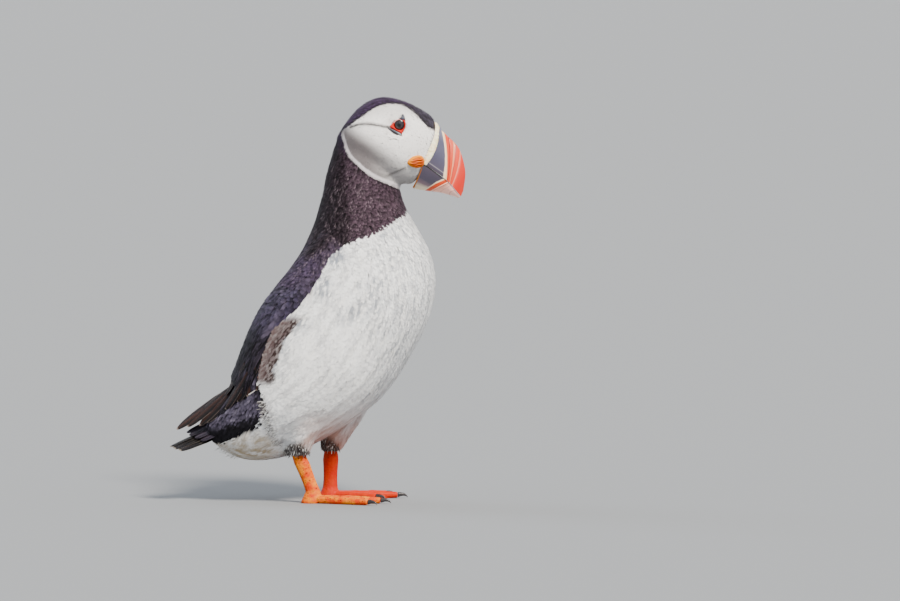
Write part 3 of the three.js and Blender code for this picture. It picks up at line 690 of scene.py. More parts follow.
def grow(name, random, roots, normals, length, width, depth, rows=2, columns=4, fray=0.25,
         camber=0.08, sway=0.16, rough=0.08, softness=0.6, bow=0.75, hang=None):
    """One coat piece. Each root bears a vane of rows by columns that ends in one barb a column.

    length, width and depth are in metres, one number or one for each root. depth is how high the
    tip stands above the skin and rough how much that varies. fray is how unevenly the barbs end,
    sway how far the lie wanders, and softness how far light falls on the vanes as on one surface.
    A small bow lets a vane rise early. Vanes with hang point that way and leave the skin.
    """
    count = len(roots)
    length = np.broadcast_to(length, count) * random.uniform(0.85, 1.15, count)
    width = np.broadcast_to(width, count) * random.uniform(0.88, 1.12, count)
    depth = np.broadcast_to(depth, count) * random.uniform(1 - rough, 1, count)
    if hang is None:
        ways = lie_of_coat(roots, normals)
    else:
        ways = np.array(hang) + 0.3 * normals
        ways /= np.linalg.norm(ways, axis=1)[:, None]
    turned = np.cross(normals, ways)
    angle = random.normal(0, sway, count)
    ways = ways * np.cos(angle)[:, None] + turned * np.sin(angle)[:, None]
    stations = np.append(np.linspace(0, 0.72, rows + 1), 1.0)
    widths = np.interp(stations, [0, 0.15, 0.45, 0.72, 1], [0.3, 0.7, 1, 0.96, 0.72])
    spots = np.empty((count, len(stations), 3))
    ups = np.empty((count, len(stations), 3))
    for i, share in enumerate(stations):
        reached = roots + ways * (length * share)[:, None]
        if hang is not None:
            spots[:, i], ups[:, i] = reached, normals
            continue
        for k, place in enumerate(reached):
            spot, up, _, _ = skin_tree.find_nearest(place)
            spots[k, i] = spot
            ups[k, i] = up
    ups = 0.5 * ups + 0.5 * ups[:, :1]
    ups /= np.linalg.norm(ups, axis=2)[:, :, None]
    heights = depth[:, None] * (0.12 + 0.88 * stations**bow)[None]
    spots = spots + ups * heights[:, :, None]
    runs = np.gradient(spots, axis=1)
    sides = np.cross(ups, runs)
    sides /= np.maximum(np.linalg.norm(sides, axis=2), 1e-9)[:, :, None]

    across = np.linspace(-1, 1, columns + 1)
    half = 0.5 * width[:, None] * widths[None]
    grid = (
        spots[:, :-1, None]
        + sides[:, :-1, None] * (half[:, :-1, None] * across)[..., None]
        - ups[:, :-1, None] * (camber * width[:, None, None] * across**2)[..., None]
    )
    barb_across = (across[:-1] + across[1:]) / 2
    reach = 1 - 0.3 * barb_across**2 - fray * random.random((count, columns))
    barb_across = barb_across + random.normal(0, 0.12, (count, columns))
    base = spots[:, -2, None]
    way = spots[:, -1, None] - base
    tips = (
        base
        + way * reach[..., None]
        + sides[:, -1, None] * (half[:, -1, None] * barb_across)[..., None]
        - ups[:, -1, None] * (camber * width[:, None] * barb_across**2)[..., None]
    )
    places = np.concatenate([grid.reshape(count, -1, 3), tips], axis=1)
    each = places.shape[1]

    quads = []
    for row in range(rows):
        for column in range(columns):
            corner = row * (columns + 1) + column
            quads.append((corner, corner + columns + 1, corner + columns + 2, corner + 1))
    last = rows * (columns + 1)
    barbs = [(last + k, last + columns + 1 + k, last + k + 1) for k in range(columns)]
    offsets = (np.arange(count) * each)[:, None, None]
    faces = [(offsets + np.array(f)[None]).reshape(-1, len(f[0])) for f in (quads, barbs)]
    mesh, corner_list = mesh_of(name, places.reshape(-1, 3), faces)
    coat_ups = np.concatenate(
        [np.repeat(ups[:, :-1], columns + 1, axis=1), np.repeat(ups[:, -1:], columns, axis=1)], axis=1
    ).reshape(-1, 3)
    soft_normals = softness * coat_ups + (1 - softness) * normals_of(mesh)
    soft_normals /= np.linalg.norm(soft_normals, axis=1)[:, None]
    mesh.normals_split_custom_set_from_vertices(soft_normals.tolist())

    along = np.concatenate(
        [np.repeat(stations[:-1], columns + 1)[None].repeat(count, 0), 0.72 + 0.28 * reach], axis=1
    )
    sideways = np.concatenate([np.tile(across, rows + 1)[None].repeat(count, 0), barb_across], axis=1)
    tone = random.random(count)
    set_attribute(mesh, "along", along.ravel())
    set_attribute(mesh, "across", np.abs(sideways).ravel())
    set_attribute(mesh, "tone", np.repeat(tone, each))
    patch = unwrap(roots)[:, None] + PATCH * np.stack([along - 0.5, 0.5 * sideways], axis=2)
    set_map(mesh, corner_list, patch.reshape(-1, 2))
    piece = add_object(name, mesh)
    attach(piece, "root")
    return piece, roots, each


def shortened(length, outer, ways, blocked):
    """Lengths cut back until no vane lies where blocked(places) is true."""
    for _ in range(6):
        over = blocked(outer + ways * length[:, None]) | blocked(outer + ways * 0.6 * length[:, None])
        length = np.where(over, 0.72 * length, length)
    return length


def root_attribute(piece, name, values, each):
    """Stores a number for each feather on all its vertices."""
    set_attribute(piece.data, name, np.repeat(values, each))


def both_attribute(piece, name, pattern, values, each):
    """Stores a number for each feather times a pattern drawn over the whole coat."""
    set_attribute(piece.data, name, pattern * np.repeat(values, each))


BARB_WAVES = 60.0  # radians from a vane's shaft to its edge, about ten barbs


def feather_material(name, root, middle, tip, roughness, tints=(), variation=0.25, barb_bump=0.3,
                     sheen=0.1, gloss=0.3, edge=None):
    """Keratin vanes: colour from root to tip, a tone for each feather, fine barbs as bump.

    tints are (attribute, hex colour) pairs that colour whole feathers, and edge is the colour of
    the vane's outer margin.
    """
    material, tree = new_material(name)
    along = add_node(tree, "Attribute", attribute_name="along")
    across = add_node(tree, "Attribute", attribute_name="across")
    tone = add_node(tree, "Attribute", attribute_name="tone")
    colour = add_node(
        tree,
        "ValToRGB",
        links={"Fac": along.outputs["Fac"]},
        stops=((0.1, linear(root)), (0.68, linear(middle)), (0.97, linear(tip))),
    )
    for attribute, tint in tints:
        share = add_node(tree, "Attribute", attribute_name=attribute)
        colour = add_node(
            tree,
            "Mix",
            {"B": linear(tint)},
            {"Factor": share.outputs["Fac"], "A": colour},
            data_type="RGBA",
        ).outputs["Result"]
    if edge:
        margin = add_node(
            tree,
            "MapRange",
            {"From Min": 0.7, "From Max": 1.0, "To Max": 0.75},
            {"Value": across.outputs["Fac"]},
        )
        colour = add_node(
            tree, "Mix", {"B": linear(edge)}, {"Factor": margin, "A": colour}, data_type="RGBA"
        ).outputs["Result"]
    brightness = add_node(
        tree,
        "MapRange",
        {"To Min": 1 - variation, "To Max": 1 + 0.4 * variation},
        {"Value": tone.outputs["Fac"]},
    )
    toned = add_node(tree, "HueSaturation", links={"Value": brightness, "Color": colour})
    barbs = add_node(tree, "Math", {1: BARB_WAVES}, {0: across.outputs["Fac"]}, operation="MULTIPLY")
    barb_wave = add_node(tree, "Math", links={0: barbs}, operation="SINE")
    bump = add_node(tree, "Bump", {"Strength": barb_bump, "Distance": 0.0001}, {"Height": barb_wave})
    shader = add_node(
        tree,
        "BsdfPrincipled",
        {
            "Roughness": roughness,
            "Specular IOR Level": gloss,
            "Sheen Weight": sheen,
            "Sheen Roughness": 0.4,
            "IOR": 1.45,
        },
        {"Base Color": toned, "Normal": bump},
    )
    finish_material(tree, shader)
    return material


NOISE_WAVES = 8


def side_noise(random, places, size):
    """A smooth random field over the bird, mostly within -1 and 1, with swells of size metres."""
    total = np.zeros(len(places))
    for _ in range(NOISE_WAVES):
        way = random.normal(size=3)
        way /= np.linalg.norm(way)
        pitch = random.uniform(0.6, 1.5)
        total += np.sin(places @ way * (2 * math.pi / size) * pitch + random.uniform(0, 6.3))
    return 2 * total / NOISE_WAVES


# ---------------------------------------------------------------------------------------------
# Breast, belly and flanks: white, silky and close. The pigment is missing, so the colour is the
# keratin's own, with long loose barbs that draw fine streaks down the belly. Grey-blue painted
# shade lies on the breast's front edge, the thighs and the flank under the wing, and the lower
# belly's pink is partly painted shade.
# ---------------------------------------------------------------------------------------------

FRONT_SPACING = 0.8 * MM


def behind_bill(places):
    """How far a place lies behind the bowed line where the bill starts, in metres."""
    bow = 1.1 * MM * np.clip(1 - ((places[:, 2] - 202 * MM) / (16 * MM)) ** 2, 0, 1)
    return bow - past_bill_base(places)


def off_eye_and_bill(places):
    return behind_bill(places) > -0.9 * MM


THIGH_REAR = [(-30.8, 65), (-27.0, 55), (-25.0, 46.5), (-22.2, 40.5), (-18.4, 33.5)]
thigh_line = smooth_line(THIGH_REAR, False)


def on_flank(places):
    """True on the bird's sides, false along its middle, in front and behind."""
    return np.abs(places[:, 1]) > 8 * MM


def near_hocks(places):
    """1 where a leg leaves the plumage, up to 11 mm from the hock, falling to 0 at 17 mm."""
    gaps = [np.linalg.norm(places - np.array(hock) * MM, axis=1) for hock in HOCKS]
    return smooth_step(17 * MM, 11 * MM, np.minimum(*gaps))


CUFF_REACH = (10, 18)  # half the length and half the height of the oval, in millimetres


def on_cuff(places):
    """1 in an oval of dark down round each hock, falling to 0 at its edge, in side view."""
    middles = np.array(HOCKS)[(places[:, 1] > 0).astype(int)] * MM
    ahead = (places[:, 0] - middles[:, 0] + 2.5 * MM) / CUFF_REACH[0]
    above = (places[:, 2] - middles[:, 2]) / CUFF_REACH[1]
    return smooth_step(1, 0.7, np.hypot(ahead, above) / MM) * (np.abs(places[:, 1]) > 9 * MM)


def white_body(places, normals):
    ragged = side_noise(np.random.default_rng(5), places, 7 * MM) * 0.7 * MM
    beside_wing = on_wing(places) <= -0.2 * MM
    return (on_white(outside(places, normals)) + ragged > 0) & (above_throat(places) < 0) & beside_wing


def off_white(places):
    """True on the folded wing and on the dark rump, where no white vane may lie."""
    hairs = 1.6 * MM * side_noise(np.random.default_rng(8), places, 2.4 * MM)
    past = 1.6 * MM * (1 - smooth_step(-38 * MM, -46 * MM, places[:, 0]))
    on_rump = (on_white(places) + hairs < -past) & (places[:, 2] < 80 * MM)
    return (on_wing(places) > 0.5 * MM) | on_rump


def patch(places, x, z, across, up):
    """1 in the middle of an oval drawn in side view in millimetres, falling to 0 past its edge."""
    gap = ((places[:, 0] / MM - x) / across) ** 2 + ((places[:, 2] / MM - z) / up) ** 2
    return np.exp(-(gap**1.5)) * on_flank(places)


random = np.random.default_rng(11)
white_roots, white_normals = scatter(random, FRONT_SPACING, white_body)
# The grey-blue and pink tints carry painted shade as well as the feathers' own streaks and tint.
white_material = feather_material(
    "white_contour_feathers", "#E4E6E8", "#F3F5F6", "#FCFDFD", 0.85,
    tints=[
        ("grey_streaks_and_shade", "#8C95A2"), ("pink_tint_and_shade", "#B0705A"), ("cream", "#AE9874"), ("tan", "#4C3634"),
        ("brown", "#22100D"),
    ],
    variation=0.07, barb_bump=0.2,
)
order = np.argsort(white_roots[:, 2])[::-1]
white_roots, white_normals = white_roots[order], white_normals[order]
piece_count = math.ceil(len(white_roots) / 10000)
for number, chosen in enumerate(np.array_split(np.arange(len(white_roots)), piece_count)):
    roots, normals = white_roots[chosen], white_normals[chosen]
    down = smooth_step(150 * MM, 40 * MM, roots[:, 2])
    length = (6.5 + 3.5 * down - 4 * near_hocks(roots)) * MM
    length = shortened(length, outside(roots, normals), lie_of_coat(roots, normals), off_white)
    piece, roots, each = grow(
        f"white_plumage_{number + 1}", random, roots, normals,
        length, (1.35 + 0.15 * down) * MM, 1.85 * MM,
        columns=3, fray=0.6, camber=0.02, sway=0.06, rough=0.02, softness=0.88, bow=0.6,
    )
    spots = places_of(piece.data)
    streak = np.clip(0.5 + 0.7 * side_noise(random, combed(roots), 4 * MM), 0, 1)
    fine = np.clip(0.5 + 0.8 * side_noise(random, combed(roots), 1.6 * MM), 0, 1)
    hair = random.random(len(roots))
    off_wing = -on_wing(spots)
    beside = smooth_step(109 * MM, 103 * MM, spots[:, 2]) * smooth_step(66 * MM, 72 * MM, spots[:, 2])
    beside *= on_flank(spots)
    thigh = smooth_step(62 * MM, 48 * MM, roots[:, 2]) * smooth_step(2 * MM, -6 * MM, roots[:, 0])
    belly = smooth_step(62 * MM, 36 * MM, roots[:, 2]) * smooth_step(-8 * MM, 4 * MM, roots[:, 0])
    collar = smooth_step(9 * MM, 0, on_white(roots)) * (roots[:, 2] > 140 * MM)
    under_tail = smooth_step(-14 * MM, -22 * MM, roots[:, 0]) * smooth_step(50 * MM, 38 * MM, roots[:, 2])
    # Painted shade: grey-blue on the breast's front edge and on the thighs, over the streaked tone.
    front_edge_shade = smooth_step(26 * MM, 40 * MM, roots[:, 0]) * 0.35
    grey_streaks_and_shade = 0.55 * streak * fine + 0.1 * collar + 0.15 * thigh + front_edge_shade * fine - 0.3 * under_tail
    scribble = 1.3 * patch(spots, 12.3, 140.2, 6, 5) + 1.3 * patch(spots, 4.8, 123.7, 5, 6)
    # Painted shade: grey-blue on the flank under the wing and in two soft patches on the breast.
    shade = 0.45 * patch(spots, 19, 108, 13, 6) + 0.35 * patch(spots, 31, 118, 9, 12)
    side_shade = 0.6 * beside * smooth_step(17 * MM, 7 * MM, off_wing) + shade
    grey_and_shade_vanes = np.repeat(grey_streaks_and_shade, each) + (scribble + side_shade) * np.repeat(fine, each)
    set_attribute(piece.data, "grey_streaks_and_shade", np.clip(grey_and_shade_vanes, 0, 0.95))
    # Painted shade mixed with the feathers' own pink: the lower belly is warmer and darker.
    root_attribute(piece, "pink_tint_and_shade", 0.9 * belly * (0.45 + 0.55 * streak), each)
    root_attribute(piece, "cream", np.clip(0.25 + 0.75 * streak, 0, 1) * (0.75 * under_tail + 0.12), each)
    reddish = patch(spots, -4.3, 122.6, 3, 4.5)
    ragged_wing = off_wing + np.repeat(2.4 * MM * (streak - 0.5) + 1.2 * MM * (fine - 0.5), each)
    tan = np.clip(beside * smooth_step(8.6 * MM, 6.6 * MM, ragged_wing) + 0.8 * reddish, 0, 1)
    set_attribute(piece.data, "tan", tan * np.repeat(0.8 + 0.1 * fine + 0.1 * hair, each))
    thigh_rear = smooth_step(3.4 * MM, 0.8 * MM, distance_to(thigh_line, spots[:, [0, 2]], False))
    specks = 0.5 * thigh_rear * np.repeat(hair > 0.75, each) * on_flank(spots)
    dark_streaks = beside * smooth_step(9.5 * MM, 7.5 * MM, ragged_wing)
    dark_streaks *= smooth_step(2 * MM, 5 * MM, off_wing)
    dark = np.repeat(hair > 0.5, each) * np.clip(0.9 * dark_streaks + reddish, 0, 0.9)
    cuff = on_cuff(spots) * np.repeat(0.72 + 0.25 * hair, each)
    set_attribute(piece.data, "brown", np.maximum.reduce([dark, specks, cuff]))
    piece.data.materials.append(white_material)

# Loose down: the thighs end in a ragged dark-tipped cuff over the legs, fine hairs stand off their
# rear edge, and a few long wisps hang below the tail.


def thigh_cuffs(places, normals):
    low = (places[:, 2] < 36 * MM) & (places[:, 2] > 29.5 * MM)
    return low & (on_cuff(places) > 0.2) & (normals[:, 2] < 0.5)


def thigh_edge(places, normals):
    beside = distance_to(thigh_line, places[:, [0, 2]], False) < 2.2 * MM
    return beside & on_flank(places) & (places[:, 2] > 34 * MM) & (places[:, 2] < 59 * MM)


def tail_wisps(places, normals):
    under = (places[:, 0] > -57 * MM) & (places[:, 0] < -43 * MM) & (normals[:, 2] < -0.2)
    return under & (on_white(places) > 2.5 * MM)


for name, spacing, wanted, hang, length, width, dark_share in (
    ("cuff_down", 0.55 * MM, thigh_cuffs, (0.0, 0.0, -1.0), 3.6 * MM, 0.45 * MM, 0.85),
    ("thigh_edge_down", 0.5 * MM, thigh_edge, (-0.9, 0.0, -0.25), 3.4 * MM, 0.26 * MM, 0.6),
    ("tail_wisps", 1.5 * MM, tail_wisps, (-0.85, 0.0, -0.3), 5.5 * MM, 0.5 * MM, 0.0),
):
    roots, normals = scatter(random, spacing, wanted)
    piece, roots, each = grow(
        name, random, roots, normals, length * random.uniform(0.5, 1.1, len(roots)), width, 1.2 * MM,
        rows=3, columns=1, sway=0.22, rough=0.3, softness=0.85, hang=hang,
    )
    dark = (random.random(len(roots)) < dark_share) * (0.97 - 0.5 * random.random(len(roots)) ** 3)
    root_attribute(piece, "grey_streaks_and_shade", 0.1 * np.ones(len(roots)), each)
    root_attribute(piece, "pink_tint_and_shade", np.zeros(len(roots)), each)
    root_attribute(piece, "cream", 0.25 * np.ones(len(roots)), each)
    root_attribute(piece, "tan", np.zeros(len(roots)), each)
    root_attribute(piece, "brown", dark, each)
    piece.data.materials.append(white_material)

# ---------------------------------------------------------------------------------------------
# Cap, nape and collar: small dark feathers, black-brown with a slate and purple sheen that is
# painted into their colour, each with a thin worn fringe that is paler, so the neck looks scaled.
# ---------------------------------------------------------------------------------------------


def mantle_line(places):
    """How far a place lies above the ragged line where the neck's feathers pass into the wings'."""
    return places[:, 2] - 129 * MM + side_noise(np.random.default_rng(7), places, 13 * MM) * 5 * MM


def dark_neck(places, normals):
    ragged = side_noise(np.random.default_rng(6), places, 5 * MM) * 0.4 * MM
    outer = outside(places, normals)
    on_neck = (mantle_line(places) > -1 * MM) & (behind_bill(outer) > 0.2 * MM)
    return on_neck & (on_white(outer) + ragged <= 0.5 * MM) & (on_face(outer) <= 0.1 * MM)


random = np.random.default_rng(12)
# Painted sheen: the slate and purple tints on the forehead, crown and mantle.
dark_material = feather_material(
    "dark_contour_feathers", "#100A0E", "#352732", "#5E4B57", 0.6,
    tints=[("slate", "#45404E"), ("purple", "#443350"), ("black", "#050304"), ("pale", "#9C8C94")],
    variation=0.6, gloss=0.12, sheen=0.0,
)
neck_roots, neck_normals = scatter(random, 0.82 * MM, dark_neck)
head_share = smooth_step(-10 * MM, 12 * MM, above_throat(neck_roots))
piece, roots, each = grow(
    "dark_plumage", random, neck_roots, neck_normals,
    (4.8 - 2.6 * head_share) * MM, (1.9 - 1.1 * head_share) * MM, (1.9 - 1.1 * head_share) * MM,
    fray=0.4, camber=0.05, sway=0.2 - 0.1 * head_share, rough=0.1, softness=0.6,
)
spots = places_of(piece.data)
forehead = smooth_step(44 * MM, 62 * MM, spots[:, 0]) * (spots[:, 2] > 203 * MM)
crown = smooth_step(0, 10 * MM, above_throat(spots)) * (1 - forehead)
nape_line = 15 * MM - 0.12 * (spots[:, 2] - 190 * MM)
nape = smooth_step(nape_line + 6 * MM, nape_line - 4 * MM, spots[:, 0])
nape *= smooth_step(216 * MM, 205 * MM, spots[:, 2])
cap_line = np.exp(-((on_face(spots) / (0.7 * MM)) ** 2)) * (spots[:, 2] > 207 * MM)
mantle = smooth_step(24 * MM, 6 * MM, mantle_line(spots))
set_attribute(piece.data, "slate", np.maximum(0.95 * forehead, 0.8 * mantle))
set_attribute(piece.data, "purple", np.maximum(0.8 * crown, 0.5 * mantle))
set_attribute(piece.data, "black", np.clip(0.75 * nape * (1 - mantle) + 0.8 * cap_line, 0, 0.9))
wisps = np.clip(side_noise(random, combed(roots), 3 * MM), 0, 1)
flecks = (0.55 * wisps + random.uniform(0, 0.6, len(roots)) ** 3) * (1 - head_share)
along = np.tile(np.append(np.repeat([0, 0.36, 0.72], 5), np.ones(4)), len(roots))
across = np.tile(np.append(np.tile([-1, -0.5, 0, 0.5, 1], 3), [-0.75, -0.25, 0.25, 0.75]), len(roots))
both_attribute(piece, "pale", smooth_step(0.3, 1, along) * smooth_step(-0.2, 0.9, across), flecks, each)
piece.data.materials.append(dark_material)

# ---------------------------------------------------------------------------------------------
# Face: very short, dense, velvety feathers, grey-white. They are paler in front of and above
# the eye and greyer low on the cheek, a grey that is painted shade, and stand up as a pale rim
# along the cheek's rear edge. The dark in the crease behind the eye and the fold below it is
# painted shade too.
# ---------------------------------------------------------------------------------------------

# The bare red ring round the eye, the horny spike above it and the bar below, all in millimetres
# from the eye's middle. No feather grows on them or lies over them.
RING_OUTLINE = [
    (-5.0, -1.1), (-3.9, 0.7), (-3.2, 1.7), (-1.9, 2.9), (-0.4, 3.3), (0.8, 3.5), (2.4, 3.6), (3.4, 2.5),
    (3.8, 0.4), (3.3, -1.8), (2.2, -3.7), (1.1, -4.8), (-0.5, -4.0), (-2.7, -2.7),
]
SPIKE_OUTLINE = [(0.2, 3.1), (1.8, 2.4), (3.4, 2.6), (3.1, 4.4), (2.3, 6.4), (1.6, 6.0), (1.1, 4.4)]
BAR_OUTLINE = [
    (-5.9, -1.6), (-4.4, -2.1), (-2.6, -3.0), (-0.8, -4.0), (0.9, -4.6), (1.5, -5.4), (0.7, -6.0),
    (-1.4, -5.1), (-3.6, -3.9), (-5.4, -2.7),
]
FACE_LENGTH = 2.8 * MM


def depth_in_eye(places):
    """Depth inside the bare parts round an eye in side view, negative off them."""
    beside = places - np.array([EYE_X, 0, EYE_Z]) * MM
    outlines = (RING_OUTLINE, SPIKE_OUTLINE, BAR_OUTLINE)
    return np.maximum.reduce([depth_inside(np.array(outline) * MM, beside) for outline in outlines])


eye_depth = drawn(depth_in_eye)


def on_eye(places):
    return (eye_depth(places) > -0.1 * MM) & (np.abs(places[:, 1]) > 5 * MM)


def rear_of_face(places):
    """1 along the rear and lower part of the face, 0 at its top and front."""
    return smooth_step(55 * MM, 47 * MM, places[:, 0]) * smooth_step(213 * MM, 207 * MM, places[:, 2])


def pale_face(places, normals):
    outer = outside(places, normals)
    return (on_face(outer) > 0.45 * MM) & off_eye_and_bill(places) & ~on_eye(outer)


def face_rim(places, normals):
    outer = outside(places, normals)
    on_rim = (on_face(outer) > 0.1 * MM) & (on_face(outer) < 1.4 * MM)
    return on_rim & (rear_of_face(outer) > 0.1) & off_eye_and_bill(places)


def face_folds(places, normals):
    outer = outside(places, normals)
    return ((from_crease(outer) < 0.42 * MM) | (from_malar(outer) < 0.4 * MM)) & ~on_eye(outer)


random = np.random.default_rng(13)
face_material = feather_material(
    "velvet_face_feathers", "#E2E0DE", "#EFEDEB", "#F5F3F1", 0.9,
    tints=[("grey", "#50484B"), ("bright", "#D6D0D4"), ("dark", "#151011")], variation=0.04, sheen=0.0,
    barb_bump=0.08,
)
for name, spacing, wanted, length, width, height in (
    ("face_plumage", 0.62 * MM, pale_face, FACE_LENGTH, 1.3 * MM, 0.72 * MM),
    ("face_rim_plumage", 0.42 * MM, face_rim, 1.7 * MM, 0.4 * MM, 1.0 * MM),
    ("face_fold_plumage", 0.34 * MM, face_folds, 1.4 * MM, 0.4 * MM, 0.95 * MM),
):
    roots, normals = scatter(random, spacing, wanted)
    outer = outside(roots, normals)
    room = np.clip(0.5 * MM + 0.9 * on_face(outer), 0.4 * MM, length)
    length = np.full(len(roots), length) if name == "face_rim_plumage" else room
    length = shortened(length, outer, lie_of_coat(roots, normals), on_eye)
    piece, roots, each = grow(
        name, random, roots, normals, length, width, height,
        rows=1, columns=2, fray=0.3, camber=0.0, sway=0.07, rough=0.04, softness=0.97, bow=0.5,
    )
    spots = places_of(piece.data)
    # Painted shade: grey grows low and to the rear of the cheek, less on the chin, and a little near the
    # cap.
    below = (spots[:, 0] - 24 * MM) * -0.56 + (spots[:, 2] - 211 * MM) * -0.83
    brow_shade = 0.3 * smooth_step(217 * MM, 224 * MM, spots[:, 2])
    rim_share = smooth_step(1.4 * MM, 0.7 * MM, on_face(spots)) * rear_of_face(spots)
    chin = smooth_step(27 * MM, 50 * MM, spots[:, 0]) * 0.4
    shade = smooth_step(-4 * MM, 6 * MM, below) * (0.92 - chin)
    set_attribute(piece.data, "grey", np.clip(shade + brow_shade, 0, 1))
    set_attribute(piece.data, "bright", 0.85 * rim_share)
    # Painted shade: the crease behind the eye and the malar fold below it are darkened.
    fold = 0.9 if name == "face_fold_plumage" else 0.5
    dark = fold * smooth_step(1.2 * MM, 0.5 * MM, from_crease(spots)) + 0.6 * fold * in_malar_fold(spots)
    set_attribute(piece.data, "dark", np.clip(dark, 0, 1))
    piece.data.materials.append(face_material)

# ---------------------------------------------------------------------------------------------
# Mantle, scapulars and wing coverts: rounded dark feathers that overlap like slates. The vanes
# are firm and a little glossy, their slate blue is painted sheen, and their worn margins are
# browner and paler.
# ---------------------------------------------------------------------------------------------

COVERT_SPACING = 1.45 * MM


def back_and_wings(places, normals):
    outer = outside(places, normals)
    on_dark = np.minimum(on_white(outer), on_white(places)) <= 1.0 * MM
    below_neck = mantle_line(places) <= 1 * MM
    return below_neck & on_dark & (np.maximum(on_wing(outer), on_wing(places)) > -0.2 * MM)


random = np.random.default_rng(14)
back_roots, back_normals = scatter(random, COVERT_SPACING, back_and_wings)
# Painted sheen: the slate blue of the middle and the tip.
covert_material = feather_material(
    "slate_covert_feathers", "#0F0B12", "#332D40", "#4C4559", 0.5,
    tints=[("brown", "#43323C"), ("black", "#040303"), ("pale", "#756B80")],
    variation=0.7, gloss=0.12, sheen=0.0, edge="#4E4454",
)
far_down = smooth_step(125 * MM, 84 * MM, back_roots[:, 2])
piece, roots, each = grow(
    "wing_coverts", random, back_roots, back_normals,
    (5.5 + 7.0 * far_down) * MM, (3.2 - 1.5 * far_down) * MM, (1.7 - 0.3 * far_down) * MM,
    rows=3, columns=4, fray=0.2, camber=0.1, sway=0.15 - 0.06 * far_down, rough=0.15, softness=0.4,
)
spots = places_of(piece.data)
root_attribute(piece, "pale", 0.24 * np.clip(side_noise(random, combed(roots), 4 * MM), 0, 1), each)
set_attribute(piece.data, "brown", 0.25 * smooth_step(-14 * MM, 0, mantle_line(spots)))
lower_wing = smooth_step(106 * MM, 90 * MM, spots[:, 2])
both_attribute(piece, "black", lower_wing, 0.97 - 0.3 * (random.random(len(roots)) > 0.85), each)
piece.data.materials.append(covert_material)

# ---------------------------------------------------------------------------------------------
# Rump sides: soft slate-grey feathers below the wing, with a jagged black border where they meet
# the white undertail coverts.
# ---------------------------------------------------------------------------------------------


def rump_side(places, normals):
    outer = outside(places, normals)
    limit = -0.8 * MM + 1.4 * MM * smooth_step(-42 * MM, -48 * MM, outer[:, 0])
    lower = (on_white(outer) <= limit) & (on_wing(outer) <= 0.8 * MM)
    return lower & (outer[:, 2] < 90 * MM)


random = np.random.default_rng(15)
rump_roots, rump_normals = scatter(random, 1.2 * MM, rump_side)
rump_material = feather_material(
    "slate_rump_feathers", "#2A2732", "#4E4858", "#645D70", 0.7,
    tints=[("pale", "#7A7384"), ("black", "#040304")], variation=0.4, gloss=0.15, sheen=0.0,
)
piece, roots, each = grow(
    "rump_plumage", random, rump_roots, rump_normals, 6.5 * MM, 1.7 * MM, 2.1 * MM,
    rows=2, columns=4, fray=0.6, camber=0.02, sway=0.08, rough=0.06, softness=0.85,
)
spots = places_of(piece.data)
strokes = np.repeat(random.normal(0, 1.1 * MM, len(roots)), each)
border = smooth_step(-5.0 * MM, -2.8 * MM, on_white(spots) + strokes)
border *= smooth_step(-30 * MM, -33 * MM, spots[:, 0]) + smooth_step(50 * MM, 47 * MM, spots[:, 2])
tail_patch = smooth_step(-49 * MM, -53 * MM, spots[:, 0]) * smooth_step(43 * MM, 40 * MM, spots[:, 2])
set_attribute(piece.data, "black", np.clip(border + tail_patch, 0, 1) * 0.93)
root_attribute(piece, "pale", 0.5 * (random.random(len(roots)) > 0.8), each)
piece.data.materials.append(rump_material)

# =============================================================================================
# The long feathers of the wings and the tail
# Stiff vanes on a shaft, black-brown and glossy, with a worn pale edge. They lie one over the
# next, so only the outer edge of each shows.
# =============================================================================================

VANE_ROWS = 26
VANE_COLUMNS = 8
VANE_THICKNESS = 0.28 * MM
SHAFT_HEIGHT = 0.22 * MM


def long_vane(root, tip, width, up, droop, blunt):
    """One stiff vane as places, faces and its along and across shares. Lengths in metres.

    droop bends the vane towards -up at its tip, and blunt is the share of it that tapers.
    """
    root, tip, up = np.array(root), np.array(tip), np.array(up, float)
    way = tip - root
    side = np.cross(way, up)
    side /= np.linalg.norm(side)
    up = np.cross(side, way)
    up /= np.linalg.norm(up)
    along = np.linspace(0, 1, VANE_ROWS + 1)[:, None]
    across = np.linspace(-1, 1, VANE_COLUMNS + 1)[None]
    taper = np.clip((along - (1 - blunt)) / blunt, 0, 1)
    half = 0.5 * width * (0.55 + 0.45 * np.clip(along / 0.3, 0, 1)) * np.sqrt(1 - 0.985 * taper**2.2)
    camber = 0.1 * width * (across**2)
    shaft = SHAFT_HEIGHT * np.exp(-((across / 0.12) ** 2)) * (1 - along)
    lift = -droop * along**2 - camber + shaft
    top = root + way * along[..., None] + side * (half * across)[..., None] + up * lift[..., None]
    thin = VANE_THICKNESS * (1 - across**4) * np.ones_like(along)
    under = top - up * thin[..., None]
    rows, columns = VANE_ROWS + 1, VANE_COLUMNS + 1
    ids = np.arange(rows * columns).reshape(rows, columns)
    quads = np.stack([ids[:-1, :-1], ids[:-1, 1:], ids[1:, 1:], ids[1:, :-1]], axis=-1).reshape(-1, 4)
    count = rows * columns
    rim = np.concatenate([ids[0], ids[1:, -1], ids[-1, -2::-1], ids[-2:0:-1, 0]])
    after = np.roll(rim, -1)
    band = np.stack([after, rim, rim + count, after + count], axis=1)
    faces = np.concatenate([quads, quads[:, ::-1] + count, band])
    places = np.concatenate([top.reshape(-1, 3), under.reshape(-1, 3)])
    shares = [np.broadcast_to(share, (rows, columns)).ravel() for share in (along, across)]
    return places, faces, np.tile(shares[0], 2), np.tile(shares[1], 2)


